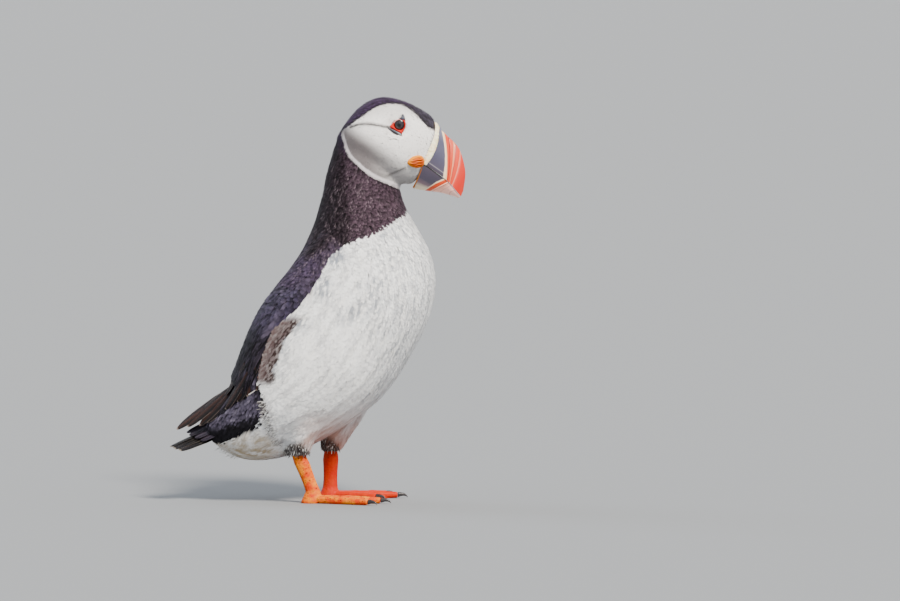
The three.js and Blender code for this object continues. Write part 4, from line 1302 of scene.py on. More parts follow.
def vane_piece(name, vanes, material, random):
    """Joins long vanes into one piece, each with its own strip of the piece's map."""
    places, faces, alongs, acrosses, tones, maps = [], [], [], [], [], []
    start = 0
    for number, (vane_places, vane_faces, along, across) in enumerate(vanes):
        places.append(vane_places)
        faces.append(vane_faces + start)
        start += len(vane_places)
        alongs.append(along)
        acrosses.append(across)
        tones.append(np.full(len(along), random.random()))
        under = np.repeat([0.0, 0.5], len(along) // 2)
        strip = (number + 0.05 + 0.4 * (across + 1) / 2 + under) / len(vanes)
        maps.append(np.stack([0.02 + 0.96 * along, strip], axis=1))
    mesh, corner_list = mesh_of(name, np.concatenate(places), [np.concatenate(faces)])
    mesh.set_sharp_from_angle(angle=math.radians(60))
    set_attribute(mesh, "along", np.concatenate(alongs))
    set_attribute(mesh, "across", np.concatenate(acrosses))
    set_attribute(mesh, "tone", np.concatenate(tones))
    set_map(mesh, corner_list, np.concatenate(maps))
    mesh.materials.append(material)
    piece = add_object(name, mesh)
    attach(piece, "root")
    return piece


BARB_SLANT = 2.4  # vane lengths counted as so many half widths, so that the barbs run aslant
LONG_BARB_WAVES = 110.0  # radians from a long vane's shaft to its edge, about eighteen barbs


def vane_material(name, inner, outer, edge, tip):
    """Keratin vane: barbs slant from the shaft, the middle is browner, edge and tip are worn pale."""
    material, tree = new_material(name)
    along = add_node(tree, "Attribute", attribute_name="along")
    across = add_node(tree, "Attribute", attribute_name="across")
    tone = add_node(tree, "Attribute", attribute_name="tone")
    off_shaft = add_node(tree, "Math", links={0: across.outputs["Fac"]}, operation="ABSOLUTE")
    stops = ((0.0, "#32241F"), (0.07, inner), (0.55, outer), (0.93, outer), (1.0, edge))
    ramp = add_node(
        tree,
        "ValToRGB",
        links={"Fac": off_shaft},
        stops=[(share, linear(colour)) for share, colour in stops],
    )
    tip_share = add_node(
        tree, "MapRange", {"From Min": 0.965, "From Max": 1.0}, {"Value": along.outputs["Fac"]}
    )
    tipped = add_node(
        tree, "Mix", {"B": linear(tip)}, {"Factor": tip_share, "A": ramp}, data_type="RGBA"
    )
    brightness = add_node(
        tree, "MapRange", {"To Min": 0.75, "To Max": 1.2}, {"Value": tone.outputs["Fac"]}
    )
    toned = add_node(
        tree, "HueSaturation", links={"Value": brightness, "Color": tipped.outputs["Result"]}
    )
    slant = add_node(
        tree, "Math", {1: BARB_SLANT}, {0: along.outputs["Fac"], 2: off_shaft}, operation="MULTIPLY_ADD"
    )
    barbs = add_node(tree, "Math", {1: LONG_BARB_WAVES}, {0: slant}, operation="MULTIPLY")
    barb_wave = add_node(tree, "Math", links={0: barbs}, operation="SINE")
    bump = add_node(tree, "Bump", {"Strength": 0.4, "Distance": 0.0001}, {"Height": barb_wave})
    shader = add_node(
        tree,
        "BsdfPrincipled",
        {"Roughness": 0.5, "Specular IOR Level": 0.18, "IOR": 1.45},
        {"Base Color": toned, "Normal": bump},
    )
    finish_material(tree, shader)
    return material


# Primaries of the folded wings: the longest makes the wing's tip, the others end in steps before
# it. Each entry is the tip in side view, how far out it lies, and the root in the same form.
PRIMARIES = [
    ((-58.0, 48.4), 12.6, (-39, 65), 15.0),
    ((-62.8, 46.0), 11.4, (-41.5, 67), 13.5),
    ((-67.0, 44.0), 10.2, (-44, 68), 12.0),
    ((-74.0, 43.2), 8.2, (-46.5, 66.5), 9.5),
    ((-80.2, 41.7), 6.4, (-48.5, 64.5), 7.0),
]
PRIMARY_WIDTH = 6.4 * MM
random = np.random.default_rng(16)
primary_material = vane_material("black_brown_primaries", "#2C1711", "#090507", "#7E6E68", "#94867E")
for side_name, side in (("right", -1), ("left", 1)):
    vanes = []
    for (tip_x, tip_z), tip_y, (root_x, root_z), root_y in PRIMARIES:
        root = np.array([root_x, side * root_y, root_z]) * MM
        tip = np.array([tip_x, side * tip_y, tip_z]) * MM
        vanes.append(long_vane(root, tip, PRIMARY_WIDTH, (-0.35, side * 0.72, 0.6), 0.5 * MM, 0.45))
    piece = vane_piece(f"primary_feathers_{side_name}", vanes, primary_material, random)
    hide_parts(f"primaries_{side_name}")

# Secondaries: they lie on the lower wing under the coverts and end in steps along its edge.
# Each entry is the tip and the root in side view.
SECONDARIES = [
    ((-33.2, 65.0), (-25.5, 86)), ((-38.6, 61.4), (-29.5, 82)), ((-44.5, 58.2), (-34, 78)),
    ((-51.5, 53.5), (-39, 75)), ((-51.9, 61.6), (-41, 80)),
]


RAY_START = 60  # well outside the bird on either side, in millimetres


def wing_place(side, x, z, height):
    """A place that stands height metres off the wing's outer surface."""
    start = Vector((x * MM, side * RAY_START * MM, z * MM))
    spot, normal, _, _ = outer_tree.ray_cast(start, Vector((0, -side, 0)))
    return np.array(spot + normal * height), np.array(normal)


for side_name, side in (("right", -1), ("left", 1)):
    vanes = []
    for tip, root in SECONDARIES:
        root, _ = wing_place(side, *root, -0.8 * MM)
        tip, up = wing_place(side, *tip, 0.15 * MM)
        vanes.append(long_vane(root, tip, 6.5 * MM, up, 0.0, 0.35))
    vane_piece(f"secondary_feathers_{side_name}", vanes, primary_material, random)

# Uppertail coverts: slate feathers from the rump that lie over the tail's root, and one pale quill
# that shows at the wing's lower edge.
UPPER_COVERTS = [
    ((-74.5, 0.8, 39.6), (-56, 1.0, 47.5)), ((-73.0, 3.4, 38.2), (-55.5, 4.0, 46.0)),
    ((-69.5, 6.2, 37.0), (-54.5, 7.5, 43.5)), ((-66.0, 8.6, 35.6), (-53.5, 10.5, 41.0)),
]
covert_vane_material = vane_material("slate_tail_coverts", "#38323E", "#211C25", "#524A58", "#524A58")
quill_material = vane_material("pale_quill", "#F4F0EA", "#EDE7E0", "#F4F0EA", "#F4F0EA")
for side_name, side in (("right", -1), ("left", 1)):
    vanes = []
    for tip, root in UPPER_COVERTS:
        ends = [np.array([x, side * y, z]) * MM for x, y, z in (root, tip)]
        vanes.append(long_vane(*ends, 5.6 * MM, (0.25, side * 0.5, 1), 0.3 * MM, 0.45))
    vane_piece(f"uppertail_coverts_{side_name}", vanes, covert_vane_material, random)
    root, _ = wing_place(side, -33.3, 65.0, 0.7 * MM)
    tip, up = wing_place(side, -37.5, 62.3, 0.8 * MM)
    quill = [long_vane(root, tip, 0.6 * MM, up, 0.0, 0.3)]
    vane_piece(f"pale_quill_{side_name}", quill, quill_material, random)

# Tail: twelve short feathers in a closed fan, the middle pair on top.
TAIL_ROOT = np.array([-57, 0, 41.5]) * MM
TAIL_END = np.array([-84.6, 0, 31.2]) * MM
TAIL_SIDE = 11.5  # how far out the outermost tips lie, in millimetres
TAIL_FEATHER_PAIRS = 6
tail_material = vane_material("black_tail_feathers", "#151012", "#060405", "#6E655C", "#9A8F82")
vanes = []
for pair in range(TAIL_FEATHER_PAIRS, 0, -1):
    share = (pair - 0.5) / TAIL_FEATHER_PAIRS
    for side in (-1, 1):
        root = TAIL_ROOT + np.array([0, side * share * 6, 2 - 6.5 * share + 0.1 * side]) * MM
        short = 8 * share**1.5 + random.uniform(-0.2, 1.0)
        tip = TAIL_END + np.array([short, side * share * TAIL_SIDE, 1.6 - 3.2 * share]) * MM
        up = (0.2, side * 0.25 * share, 1)
        vanes.append(long_vane(root, tip, 6.4 * MM, up, 1.6 * MM * (1 - share), 0.3))
piece = vane_piece("tail_feathers", vanes, tail_material, random)
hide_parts("tail")

# =============================================================================================
# The bill
# Horn over bone in two mandibles that meet at the mouth line. A slate plate at the base, a pale
# ridge, then orange-red bands parted by grooves. A fleshy ivory rim joins it to the face.
# =============================================================================================

# Lines across each mandible, from the base to the tip: where each meets the mouth, where it meets
# the ridge, both in side view in millimetres, and the half width there as a share.
UPPER_BILL = [
    ((61.2, 193.0), (68.5, 216.9), 1.02),
    ((62.2, 192.2), (70.4, 213.8), 1.0),
    ((73.0, 184.4), (71.2, 211.5), 0.76),
    ((74.4, 183.0), (72.6, 210.2), 0.75),
    ((75.8, 181.8), (75.2, 207.6), 0.66),
    ((76.8, 180.6), (78.4, 204.6), 0.56),
    ((79.2, 177.6), (81.9, 199.4), 0.43),
    ((81.0, 175.4), (84.7, 188.0), 0.27),
    ((82.2, 173.9), (83.6, 177.2), 0.12),
]
LOWER_BILL = [
    ((60.9, 192.5), (54.7, 179.2), 0.98),
    ((61.9, 191.7), (56.0, 178.2), 0.95),
    ((72.6, 184.0), (61.3, 177.3), 0.74),
    ((74.0, 182.6), (63.6, 177.0), 0.72),
    ((75.4, 181.3), (67.0, 176.6), 0.63),
    ((76.4, 180.2), (70.4, 176.1), 0.54),
    ((78.9, 177.1), (76.1, 174.6), 0.36),
    ((81.7, 173.7), (80.9, 172.9), 0.12),
]
BILL_HALF_WIDTH = 9.3 * MM
RIDGE_WIDTH = 0.09  # half width left at the ridge, as a share


def run_through(anchors, shares):
    """A Catmull-Rom run through rows of numbers, read at shares from 0 to 1, or a little outside."""
    anchors = np.array(anchors, float)
    spans = len(anchors) - 1
    run = np.asarray(shares) * spans
    first = np.clip(np.floor(run).astype(int), 0, spans - 1)
    rest = (run - first)[..., None]
    around = [anchors[np.clip(first + k, 0, spans)] for k in (-1, 0, 1, 2)]
    return between(*around, rest)


def turn_outwards(mesh):
    """Turns the faces of a mesh so that they look outwards."""
    shell = bmesh.new()
    shell.from_mesh(mesh)
    bmesh.ops.recalc_face_normals(shell, faces=shell.faces)
    shell.to_mesh(mesh)
    shell.free()


def stored_numbers(mesh, name):
    """The numbers that set_attribute stored, one for each vertex."""
    values = np.empty(len(mesh.vertices), np.float32)
    mesh.attributes[name].data.foreach_get("value", values)
    return values


def mandible(name, lines, bows, shares, rises, relief):
    """A mandible as a closed form. relief(band, rise) is how far its surface stands out.

    bows are how far the lines across it stand forward at their middle, at its base and its tip.
    """
    table = run_through([(*mouth, *ridge, half) for mouth, ridge, half in lines], shares)
    mouth, ridge, half = table[:, :2] * MM, table[:, 2:4] * MM, table[:, 4] * BILL_HALF_WIDTH
    across = ridge - mouth
    ahead = np.stack([np.abs(across[:, 1]), -across[:, 0] * np.sign(across[:, 1])], axis=1)
    ahead /= np.linalg.norm(ahead, axis=1)[:, None]
    v = rises[None]
    bulge = np.interp(shares, [0, 1], bows)[:, None] * MM * 4 * v * (1 - v)
    in_side_view = mouth[:, None] + across[:, None] * v[..., None] + ahead[:, None] * bulge[..., None]
    width = half[:, None] * np.maximum(np.cos(v * math.pi / 2) ** 0.7, RIDGE_WIDTH)
    rings = []
    for side, order in ((1, slice(None)), (-1, slice(None, None, -1))):
        rings.append(
            np.stack([in_side_view[..., 0], side * width, in_side_view[..., 1]], axis=-1)[:, order]
        )
    ring = np.concatenate(rings, axis=1)
    rows, columns = ring.shape[:2]
    ids = np.arange(rows * columns).reshape(rows, columns)
    after = np.roll(ids, -1, axis=1)
    quads = np.stack([ids[:-1], after[:-1], after[1:], ids[1:]], axis=-1).reshape(-1, 4)
    half_ring = columns // 2
    here = np.arange(half_ring - 1)
    caps = [
        np.stack([end[here], end[columns - 1 - here], end[columns - 2 - here], end[here + 1]], axis=1)
        for end in (ids[0], ids[-1][::-1])
    ]
    mesh, _ = mesh_of(name, ring.reshape(-1, 3), [np.concatenate([quads, *caps])])
    turn_outwards(mesh)
    band = np.repeat(shares[:, None], columns, axis=1)
    rise = np.repeat(np.concatenate([rises, rises[::-1]])[None], rows, axis=0)
    set_attribute(mesh, "band", band.ravel())
    set_attribute(mesh, "rise", rise.ravel())
    out = relief(band, rise).ravel()
    set_places(mesh, places_of(mesh) + normals_of(mesh) * out[:, None])
    mesh.set_sharp_from_angle(angle=math.radians(50))
    piece = add_object(name, mesh)
    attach(piece, "root")
    return piece


def dip(value, middle, width):
    return np.exp(-(((value - middle) / width) ** 2))


def upper_band(band, rise):
    """The band's share as the colours run: it comes earlier towards the mouth."""
    return band + 0.1 * (1 - rise) ** 2 * np.clip((band - 0.23) / 0.07, 0, 1)


def lower_band(band, rise):
    return band + 0.03 * np.sin(math.pi * rise) * np.clip((band - 0.23) / 0.07, 0, 1)


def upper_relief(band, rise):
    run = upper_band(band, rise)
    full = np.clip((1 - rise) / 0.12, 0, 1)
    ridge = 0.28 * dip(run, 0.345, 0.045)
    grooves = 0.3 * dip(run, 0.505, 0.012) + 0.42 * dip(run, 0.625, 0.018) + 0.35 * dip(run, 0.755, 0.018)
    mouth_line = 0.25 * dip(rise, 0.075, 0.012) * (run < 0.27)
    return (ridge - grooves) * full * MM + mouth_line * MM


def lower_relief(band, rise):
    run = lower_band(band, rise)
    full = np.clip((1 - rise) / 0.12, 0, 1)
    ridge = 0.2 * dip(run, 0.265, 0.035)
    grooves = 0.22 * dip(run, 0.385, 0.012) + 0.35 * dip(run, 0.5, 0.02) + 0.16 * dip(run, 0.7, 0.015)
    grooves += 0.12 * dip(run, 0.84, 0.015)
    return (ridge - grooves) * full * MM


def horn_material(name, colours, base_colours, base_start, base_end, mouth_line):
    """Polished horn: colour by bands across the bill, fine growth lines along them, a clear gloss.

    colours are (share, hex) along the bill. base_colours are (rise, hex) for the plate, which
    fills shares from base_start to base_end, and mouth_line is the rise of the pale line on it.
    """
    material, tree = new_material(name)
    band = add_node(tree, "Attribute", attribute_name="run")
    rise = add_node(tree, "Attribute", attribute_name="rise")
    place = add_node(tree, "TexCoord")
    wander = add_node(
        tree, "TexNoise", {"Scale": 420.0, "Detail": 3.0}, {"Vector": place.outputs["Object"]}
    )
    shifted = add_node(
        tree,
        "MapRange",
        {"From Min": 0.3, "From Max": 0.7, "To Min": -0.0035, "To Max": 0.0035},
        {"Value": wander},
    )
    run = add_node(tree, "Math", links={0: band.outputs["Fac"], 1: shifted}, operation="ADD")
    bands, plate = (
        add_node(
            tree,
            "ValToRGB",
            links={"Fac": source},
            stops=[(share, linear(colour)) for share, colour in stops],
        )
        for source, stops in ((run, colours), (rise.outputs["Fac"], base_colours))
    )
    before_end = add_node(
        tree,
        "MapRange",
        {"From Min": base_end - 0.006, "From Max": base_end + 0.006, "To Min": 1.0, "To Max": 0.0},
        {"Value": run},
    )
    after_start = add_node(
        tree,
        "MapRange",
        {"From Min": base_start - 0.006, "From Max": base_start + 0.006},
        {"Value": run},
    )
    on_plate = add_node(tree, "Math", links={0: before_end, 1: after_start}, operation="MULTIPLY")
    banded = add_node(tree, "Mix", links={"Factor": on_plate, "A": bands, "B": plate}, data_type="RGBA")
    line_gap = add_node(tree, "Math", {1: mouth_line}, {0: rise.outputs["Fac"]}, operation="SUBTRACT")
    line_off = add_node(tree, "Math", links={0: line_gap}, operation="ABSOLUTE")
    line_share = add_node(
        tree,
        "MapRange",
        {"From Min": 0.003, "From Max": 0.01, "To Min": 0.3, "To Max": 0.0},
        {"Value": line_off},
    )
    line_on_plate = add_node(tree, "Math", links={0: line_share, 1: on_plate}, operation="MULTIPLY")
    lined = add_node(
        tree,
        "Mix",
        {"B": linear("#C9C3C4")},
        {"Factor": line_on_plate, "A": banded.outputs["Result"]},
        data_type="RGBA",
    )
    growth = add_node(tree, "Math", {1: 420.0}, {0: run}, operation="MULTIPLY")
    growth_wave = add_node(tree, "Math", links={0: growth}, operation="SINE")
    growth_height = add_node(
        tree, "Math", {1: 0.25}, {0: growth_wave, 2: wander}, operation="MULTIPLY_ADD"
    )
    bump = add_node(tree, "Bump", {"Strength": 0.35, "Distance": 0.0001}, {"Height": growth_height})
    shader = add_node(
        tree,
        "BsdfPrincipled",
        {
            "Roughness": 0.45,
            "IOR": 1.54,
            "Specular IOR Level": 0.35,
            "Coat Weight": 0.1,
            "Coat Roughness": 0.2,
        },
        {"Base Color": lined.outputs["Result"], "Normal": bump},
    )
    finish_material(tree, shader)
    return material


RIM_END = 0.125
UPPER_SHARES = np.linspace(RIM_END - 0.01, 1, 120)
UPPER_RISES = np.linspace(0, 1, 44)
upper_bill = mandible("bill_horn_upper", UPPER_BILL, (1.9, 0), UPPER_SHARES, UPPER_RISES, upper_relief)
lower_bill = mandible(
    "bill_horn_lower", LOWER_BILL, (0.4, 0), np.linspace(0, 1, 110), np.linspace(0, 1, 30), lower_relief
)
for bill_piece, run_of in ((upper_bill, upper_band), (lower_bill, lower_band)):
    mesh = bill_piece.data
    run = run_of(stored_numbers(mesh, "band"), stored_numbers(mesh, "rise"))
    set_attribute(mesh, "run", run)
upper_bill.data.materials.append(
    horn_material(
        "banded_bill_horn_upper",
        [
            (0.0, "#8A7F7C"), (0.24, "#B9A9A2"), (0.262, "#E8CFA8"), (0.375, "#E2B07A"),
            (0.395, "#C83400"), (0.49, "#BE2800"), (0.503, "#4E0C00"), (0.52, "#CC3800"),
            (0.59, "#C83400"), (0.608, "#E4926C"), (0.64, "#DC7C58"), (0.655, "#9A200A"),
            (0.672, "#CC3418"), (0.735, "#D43C1E"), (0.75, "#E48A72"), (0.77, "#C82A10"),
            (0.88, "#BE1806"), (1.0, "#C42C12"),
        ],
        [(0.0, "#3A3038"), (0.05, "#443E4E"), (0.3, "#3B3950"), (0.7, "#43435A"), (0.93, "#6A6A7C")],
        -1.0,
        0.245,
        0.085,
    )
)
lower_bill.data.materials.append(
    horn_material(
        "banded_bill_horn_lower",
        [
            (0.0, "#CE8000"), (0.1, "#C87000"), (0.112, "#5A2A10"), (0.25, "#A99990"),
            (0.286, "#F2E0C2"), (0.294, "#F2D2A4"), (0.308, "#C83C00"), (0.385, "#C83C00"),
            (0.395, "#6E1800"), (0.41, "#CC4400"), (0.47, "#CA4200"), (0.485, "#FAC4AC"),
            (0.515, "#F6B098"), (0.528, "#C64A22"), (0.548, "#F6AE96"), (0.7, "#F6B8A4"),
            (0.712, "#C88070"), (0.725, "#F6BAA8"), (0.835, "#F6BEAE"), (0.845, "#CE8E80"),
            (0.86, "#F7C2B4"), (1.0, "#F4C4B8"),
        ],
        [
            (0.0, "#3A3038"), (0.05, "#3E3846"), (0.5, "#453F50"), (0.68, "#77606C"),
            (0.84, "#E2D2B8"), (1.0, "#EBDDBE"),
        ],
        0.112,
        0.283,
        -1.0,
    )
)
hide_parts("bill_upper")
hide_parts("bill_lower")

# ---------------------------------------------------------------------------------------------
# Rim of the bill: a soft ivory welt of skin with small warts, raised over the horn's edge. It is
# grown to the face and runs round the upper mandible's base only.
# ---------------------------------------------------------------------------------------------


RIM_LINES = [
    ((60.5, 193.5), (67.3, 216.4), 1.03),
    ((61.3, 193.0), (68.5, 215.8), 1.02),
    ((62.2, 192.2), (70.0, 213.4), 1.0),
    ((62.9, 191.7), (70.8, 212.2), 0.985),
]


def rim_relief(band, rise):
    welt = np.clip(np.sin(math.pi * band), 0, 1) ** 0.55
    warts = 0.12 * np.sin(rise * 95 + 3 * np.sin(band * 20)) * np.sin(band * 24 + rise * 17)
    flush = 1 - 0.45 * smooth_step(0.8, 0.98, rise)
    return (welt * flush * (0.95 + warts) - 0.55) * MM


rim = mandible(
    "bill_welt", RIM_LINES, (1.0, 1.9), np.linspace(0, 1, 22), np.linspace(0, 1, 90), rim_relief
)
# Soft skin: light goes a little way into it, it is stained in places, and warts roughen it.
rim_material, tree = new_material("ivory_welt_skin")
place = add_node(tree, "TexCoord")
stain = add_node(tree, "TexNoise", {"Scale": 500.0, "Detail": 4.0}, {"Vector": place.outputs["Object"]})
stain_tint = add_node(
    tree, "ValToRGB", links={"Fac": stain}, stops=((0.35, linear("#D9C79A")), (0.6, linear("#F3EACB")))
)
warts = add_node(tree, "TexVoronoi", {"Scale": 1400.0}, {"Vector": place.outputs["Object"]})
bump = add_node(
    tree, "Bump", {"Strength": 0.5, "Distance": 0.0002}, {"Height": warts.outputs["Distance"]}
)
shader = add_node(
    tree,
    "BsdfPrincipled",
    {"Roughness": 0.5, "Subsurface Weight": 0.2, "Subsurface Scale": 0.001},
    {"Base Color": stain_tint, "Normal": bump},
)
finish_material(tree, shader)
rim.data.materials.append(rim_material)
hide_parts("bill_rim")

# =============================================================================================
# The eyes
# A wet dark ball, set in a red fleshy ring that runs to a point behind and below, with a
# blue-grey horny spike above it and a bar below.
# =============================================================================================

BALL_RADIUS = 5.0 * MM
BALL_SUNK = 4.05 * MM

graph = bpy.context.evaluated_depsgraph_get()
horn_trees = [BVHTree.FromObject(piece, graph) for piece in (rim, upper_bill, lower_bill)]
face_trees = [outer_tree, *horn_trees]


def cheek_place(side, x, z):
    """The outermost surface of face or bill and its normal at a place in side view, in millimetres."""
    start = Vector((x * MM, side * RAY_START * MM, z * MM))
    hits = [tree.ray_cast(start, Vector((0, -side, 0))) for tree in face_trees]
    hits = [hit for hit in hits if hit[0]]
    if not hits:
        return np.array((x * MM, side * (BILL_HALF_WIDTH + 0.3 * MM), z * MM)), np.array((0, side, 0))
    spot, normal, _, _ = min(hits, key=lambda hit: hit[3])
    return np.array(spot), np.array(normal) * (1 if normal[1] * side > 0 else -1)


def cheek_mesh(name, side, points, heights, rows, columns, closed=True):
    """A grid laid on the cheek: side-view points in millimetres and heights in metres."""
    places = []
    for (x, z), height in zip(points, heights):
        spot, normal = cheek_place(side, x, z)
        places.append(spot + normal * height)
    ids = np.arange(rows * columns).reshape(rows, columns)
    after = np.roll(ids, -1, axis=1) if closed else ids[:, 1:]
    before = ids if closed else ids[:, :-1]
    quads = np.stack([before[:-1], after[:-1], after[1:], before[1:]], axis=-1).reshape(-1, 4)
    mesh, _ = mesh_of(name, np.array(places), [quads])
    turn_outwards(mesh)
    return mesh


def domed_pad(name, side, outline, height, sunk, rows=14, power=0.6, ridges=None):
    """A closed outline on the cheek filled by a pad that rises from its edge to height."""
    edge = smooth_line(outline, True, 6) / MM
    middle = edge.mean(axis=0)
    shares = 1 - np.linspace(0, 1, rows) ** 1.3 * 0.999
    points, heights, outs = [], [], []
    for share in shares:
        for corner in edge:
            offset = middle + (corner - middle) * share
            points.append(offset + np.array([EYE_X, EYE_Z]))
            dome = (1 - share**2.4) ** power
            heights.append(dome * height - (1 - dome) * sunk)
            outs.append(share)
    points, heights = np.array(points), np.array(heights)
    if ridges is not None:
        heights = heights + ridges(points, np.array(outs))
    mesh = cheek_mesh(name, side, points, heights, rows, len(edge))
    set_attribute(mesh, "edge", outs)
    return mesh


def skin_bump(tree, scale, strength):
    """Fine grain of bare skin as a bump."""
    place = add_node(tree, "TexCoord")
    grain = add_node(
        tree, "TexNoise", {"Scale": scale, "Detail": 4.0}, {"Vector": place.outputs["Object"]}
    )
    return add_node(tree, "Bump", {"Strength": strength, "Distance": 0.0002}, {"Height": grain})


# Wet eyeball: a clear film gives one sharp reflection over a black pupil and a dark brown iris.
eye_material, tree = new_material("wet_dark_eye")
off_axis = add_node(tree, "Attribute", attribute_name="off_axis")
place = add_node(tree, "TexCoord")
fibres = add_node(
    tree, "TexNoise", {"Scale": 900.0, "Detail": 5.0}, {"Vector": place.outputs["Object"]}
)
fibre_tint = add_node(
    tree, "ValToRGB", links={"Fac": fibres}, stops=((0.35, linear("#100C0F")), (0.7, linear("#352E34")))
)
zones = add_node(
    tree,
    "ValToRGB",
    links={"Fac": off_axis.outputs["Fac"]},
    stops=((0.17, (0, 0, 0, 1)), (0.21, (1, 1, 1, 1)), (0.5, (0.7, 0.7, 0.7, 1)), (0.62, (0, 0, 0, 1))),
)
eye_colour = add_node(
    tree, "Mix", {"A": linear("#050406")}, {"Factor": zones, "B": fibre_tint}, data_type="RGBA"
)
shader = add_node(
    tree,
    "BsdfPrincipled",
    {"Roughness": 0.3, "IOR": 1.38, "Specular IOR Level": 0.2, "Coat Weight": 0.8, "Coat Roughness": 0.03},
    {"Base Color": eye_colour.outputs["Result"]},
)
finish_material(tree, shader)

# Bare eyelid skin: red, finely grained, with a low sheen, and paler where the ring is thin.
ring_material, tree = new_material("red_eyelid_skin")
pallor = add_node(tree, "Attribute", attribute_name="pallor")
ring_colour = add_node(
    tree,
    "Mix",
    {"A": linear("#B81402"), "B": linear("#D9A8A4")},
    {"Factor": pallor.outputs["Fac"]},
    data_type="RGBA",
)
shader = add_node(
    tree,
    "BsdfPrincipled",
    {"Roughness": 0.5, "Specular IOR Level": 0.3},
    {"Base Color": ring_colour.outputs["Result"], "Normal": skin_bump(tree, 2200.0, 0.5)},
)
finish_material(tree, shader)

# Thin horn: smooth and blue-grey, darker towards the edge where it thins out.
plate_material, tree = new_material("blue_grey_eye_horn")
off_middle = add_node(tree, "Attribute", attribute_name="edge")
plate_tint = add_node(
    tree,
    "ValToRGB",
    links={"Fac": off_middle.outputs["Fac"]},
    stops=((0.3, linear("#3C4050")), (1.0, linear("#15161C"))),
)
shader = add_node(
    tree,
    "BsdfPrincipled",
    {"Roughness": 0.4, "IOR": 1.54},
    {"Base Color": plate_tint, "Normal": skin_bump(tree, 1800.0, 0.3)},
)
finish_material(tree, shader)

for side_name, side in (("right", -1), ("left", 1)):
    surface, axis = cheek_place(side, EYE_X, EYE_Z)
    ball_middle = surface - axis * BALL_SUNK
    ball = bmesh.new()
    bmesh.ops.create_uvsphere(ball, u_segments=64, v_segments=40, radius=BALL_RADIUS - 0.02 * MM)
    turn = Vector((0, 0, 1)).rotation_difference(Vector(axis)).to_matrix().to_4x4()
    bmesh.ops.transform(ball, matrix=Matrix.Translation(Vector(ball_middle)) @ turn, verts=ball.verts)
    mesh = bpy.data.meshes.new(f"eyeball_{side_name}")
    ball.to_mesh(mesh)
    ball.free()
    offsets = places_of(mesh) - ball_middle
    cosine = offsets @ axis / np.linalg.norm(offsets, axis=1)
    set_attribute(mesh, "off_axis", np.arccos(np.clip(cosine, -1, 1)))
    shade_smooth(mesh)
    mesh.materials.append(eye_material)
    eyeball = add_object(mesh.name, mesh)
    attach(eyeball, "root")
    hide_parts(f"eye_{side_name}")

    outline = smooth_line(RING_OUTLINE, True, 8) / MM
    angles = np.arctan2(outline[:, 1], outline[:, 0])
    inner = 2.85 * np.stack([np.cos(angles), np.sin(angles)], axis=1)
    points, heights, pallors = [], [], []
    for share in np.linspace(0, 1, 12):
        ridge = math.sin(math.pi * share) ** 0.7
        for number, (near, far) in enumerate(zip(inner, outline)):
            points.append(near + (far - near) * share + np.array([EYE_X, EYE_Z]))
            wrinkle = 0.05 * math.sin(number * 2.1) * ridge
            heights.append((0.75 * ridge + wrinkle - 0.25 - 0.25 * (share > 0.95)) * MM)
            thin = np.linalg.norm(far - near) < 0.85
            pallors.append(0.75 if thin and angles[number] > 0.9 else 0.0)
    mesh = cheek_mesh(f"eyelid_{side_name}", side, np.array(points), np.array(heights), 12, len(outline))
    eyelid = add_object(mesh.name, mesh)
    set_attribute(mesh, "pallor", pallors)
    mesh.materials.append(ring_material)
    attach(eyelid, "root")
    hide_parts(f"eye_ring_{side_name}")

    for name, outline, node, height in (
        ("eye_spike", SPIKE_OUTLINE, "eye_plate_upper", 0.9),
        ("eye_bar", BAR_OUTLINE, "eye_plate_lower", 0.8),
    ):
        mesh = domed_pad(f"{name}_{side_name}", side, outline, height * MM, 0.4 * MM, rows=10)
        mesh.materials.append(plate_material)
        plate = add_object(mesh.name, mesh)
        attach(plate, "root")
        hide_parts(f"{node}_{side_name}")

# ---------------------------------------------------------------------------------------------
# Rosettes: a pleated pad of bare yellow skin at each corner of the mouth, orange in its folds.
# It is grown to the cheek behind the rim, so its edge is sunk a little below the feathers.
# ---------------------------------------------------------------------------------------------

ROSETTE_OUTLINE = [
    (52.0, 193.3), (52.9, 195.1), (54.5, 196.4), (56.6, 197.3), (58.9, 197.6), (60.9, 196.8),
    (61.9, 194.9), (61.8, 192.9), (60.7, 191.2), (58.9, 190.4), (57.0, 190.2), (54.9, 190.7), (53.1, 191.7),
]
ROSETTE_TILT = 0.18
PLEAT_HEIGHT = 0.32 * MM
PLEAT_SPACING = 1.35  # in millimetres


def pleats(points, outs):
    across = (points[:, 1] - 193.9) - ROSETTE_TILT * (points[:, 0] - 57)
    wavy = across + 0.25 * np.sin(points[:, 0] * 1.4)
    inside = np.clip((0.86 - outs) / 0.2, 0, 1)
    return PLEAT_HEIGHT * inside * np.cos(wavy * 2 * math.pi / PLEAT_SPACING)


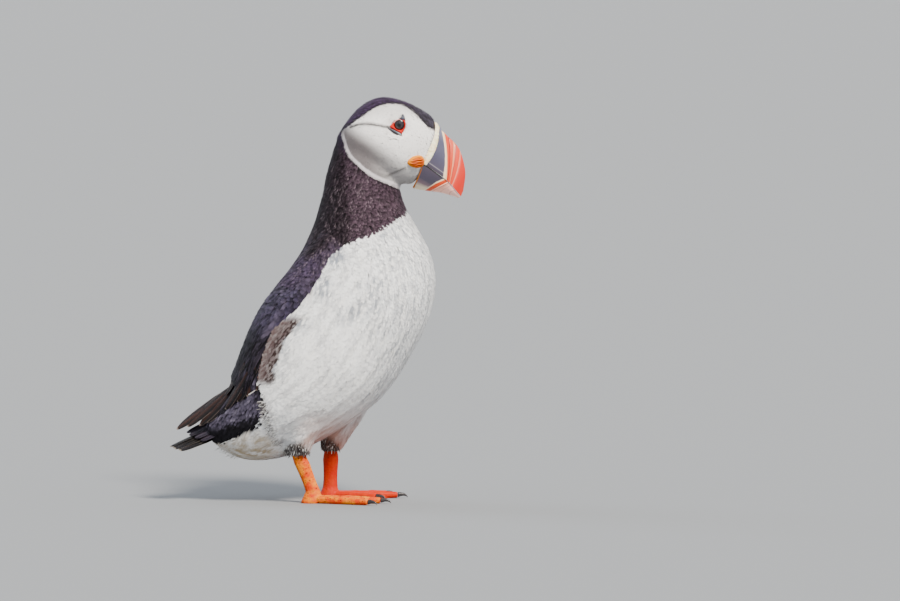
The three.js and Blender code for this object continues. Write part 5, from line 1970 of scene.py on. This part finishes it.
# Pleated skin: yellow-orange on its folds and along its margin, redder in between, finely grained.
rosette_material, tree = new_material("pleated_yellow_skin")
off_middle = add_node(tree, "Attribute", attribute_name="edge")
fold = add_node(tree, "Attribute", attribute_name="fold")
fold_tint = add_node(
    tree,
    "ValToRGB",
    links={"Fac": fold.outputs["Fac"]},
    stops=((0.1, linear("#8E2400")), (0.75, linear("#C05C00"))),
)
margin = add_node(
    tree, "MapRange", {"From Min": 0.62, "From Max": 0.86}, {"Value": off_middle.outputs["Fac"]}
)
rosette_colour = add_node(
    tree, "Mix", {"B": linear("#D47E00")}, {"Factor": margin, "A": fold_tint}, data_type="RGBA"
)
shader = add_node(
    tree,
    "BsdfPrincipled",
    {"Roughness": 0.5, "Specular IOR Level": 0.12},
    {"Base Color": rosette_colour.outputs["Result"], "Normal": skin_bump(tree, 1500.0, 0.5)},
)
finish_material(tree, shader)
for side_name, side in (("right", -1), ("left", 1)):
    relative = [(x - EYE_X, z - EYE_Z) for x, z in ROSETTE_OUTLINE]
    mesh = domed_pad(
        f"mouth_rosette_{side_name}", side, relative, 1.9 * MM, 0.9 * MM, rows=26, power=0.5, ridges=pleats
    )
    mesh.materials.append(rosette_material)
    pad = add_object(mesh.name, mesh)
    places = places_of(mesh) / MM
    height = pleats(places[:, [0, 2]], stored_numbers(mesh, "edge")) / PLEAT_HEIGHT
    set_attribute(mesh, "fold", 0.5 + 0.5 * height)
    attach(pad, "root")
    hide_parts(f"rosette_{side_name}")

# =============================================================================================
# The claws
# Black horn, hooked down to the floor, with worn greyer streaks. Each is a sheath over the last
# bone of a toe, so it grows straight out of the scaly skin.
# =============================================================================================

# Claw horn: black with greyer worn streaks and a dull polish.
claw_material, tree = new_material("black_claw_horn")
place = add_node(tree, "TexCoord")
streaks = add_node(
    tree, "TexNoise", {"Scale": 700.0, "Detail": 3.0}, {"Vector": place.outputs["Object"]}
)
claw_tint = add_node(
    tree,
    "ValToRGB",
    links={"Fac": streaks},
    stops=((0.3, linear("#0D0B0D")), (0.75, linear("#3A3334"))),
)
shader = add_node(
    tree,
    "BsdfPrincipled",
    {"Roughness": 0.33, "IOR": 1.54},
    {"Base Color": claw_tint, "Normal": skin_bump(tree, 900.0, 0.3)},
)
finish_material(tree, shader)
for side_name in ("right", "left"):
    for toe in ("inner", "middle", "outer"):
        node = f"claw_{side_name}_{toe}"
        claw = soft_form(f"horn_{node}", [node], 0.05 * MM, 0.14 * MM, 3)
        shade_smooth(claw.data)
        claw.data.materials.clear()
        claw.data.materials.append(claw_material)
        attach(claw, "root")
        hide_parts(node)
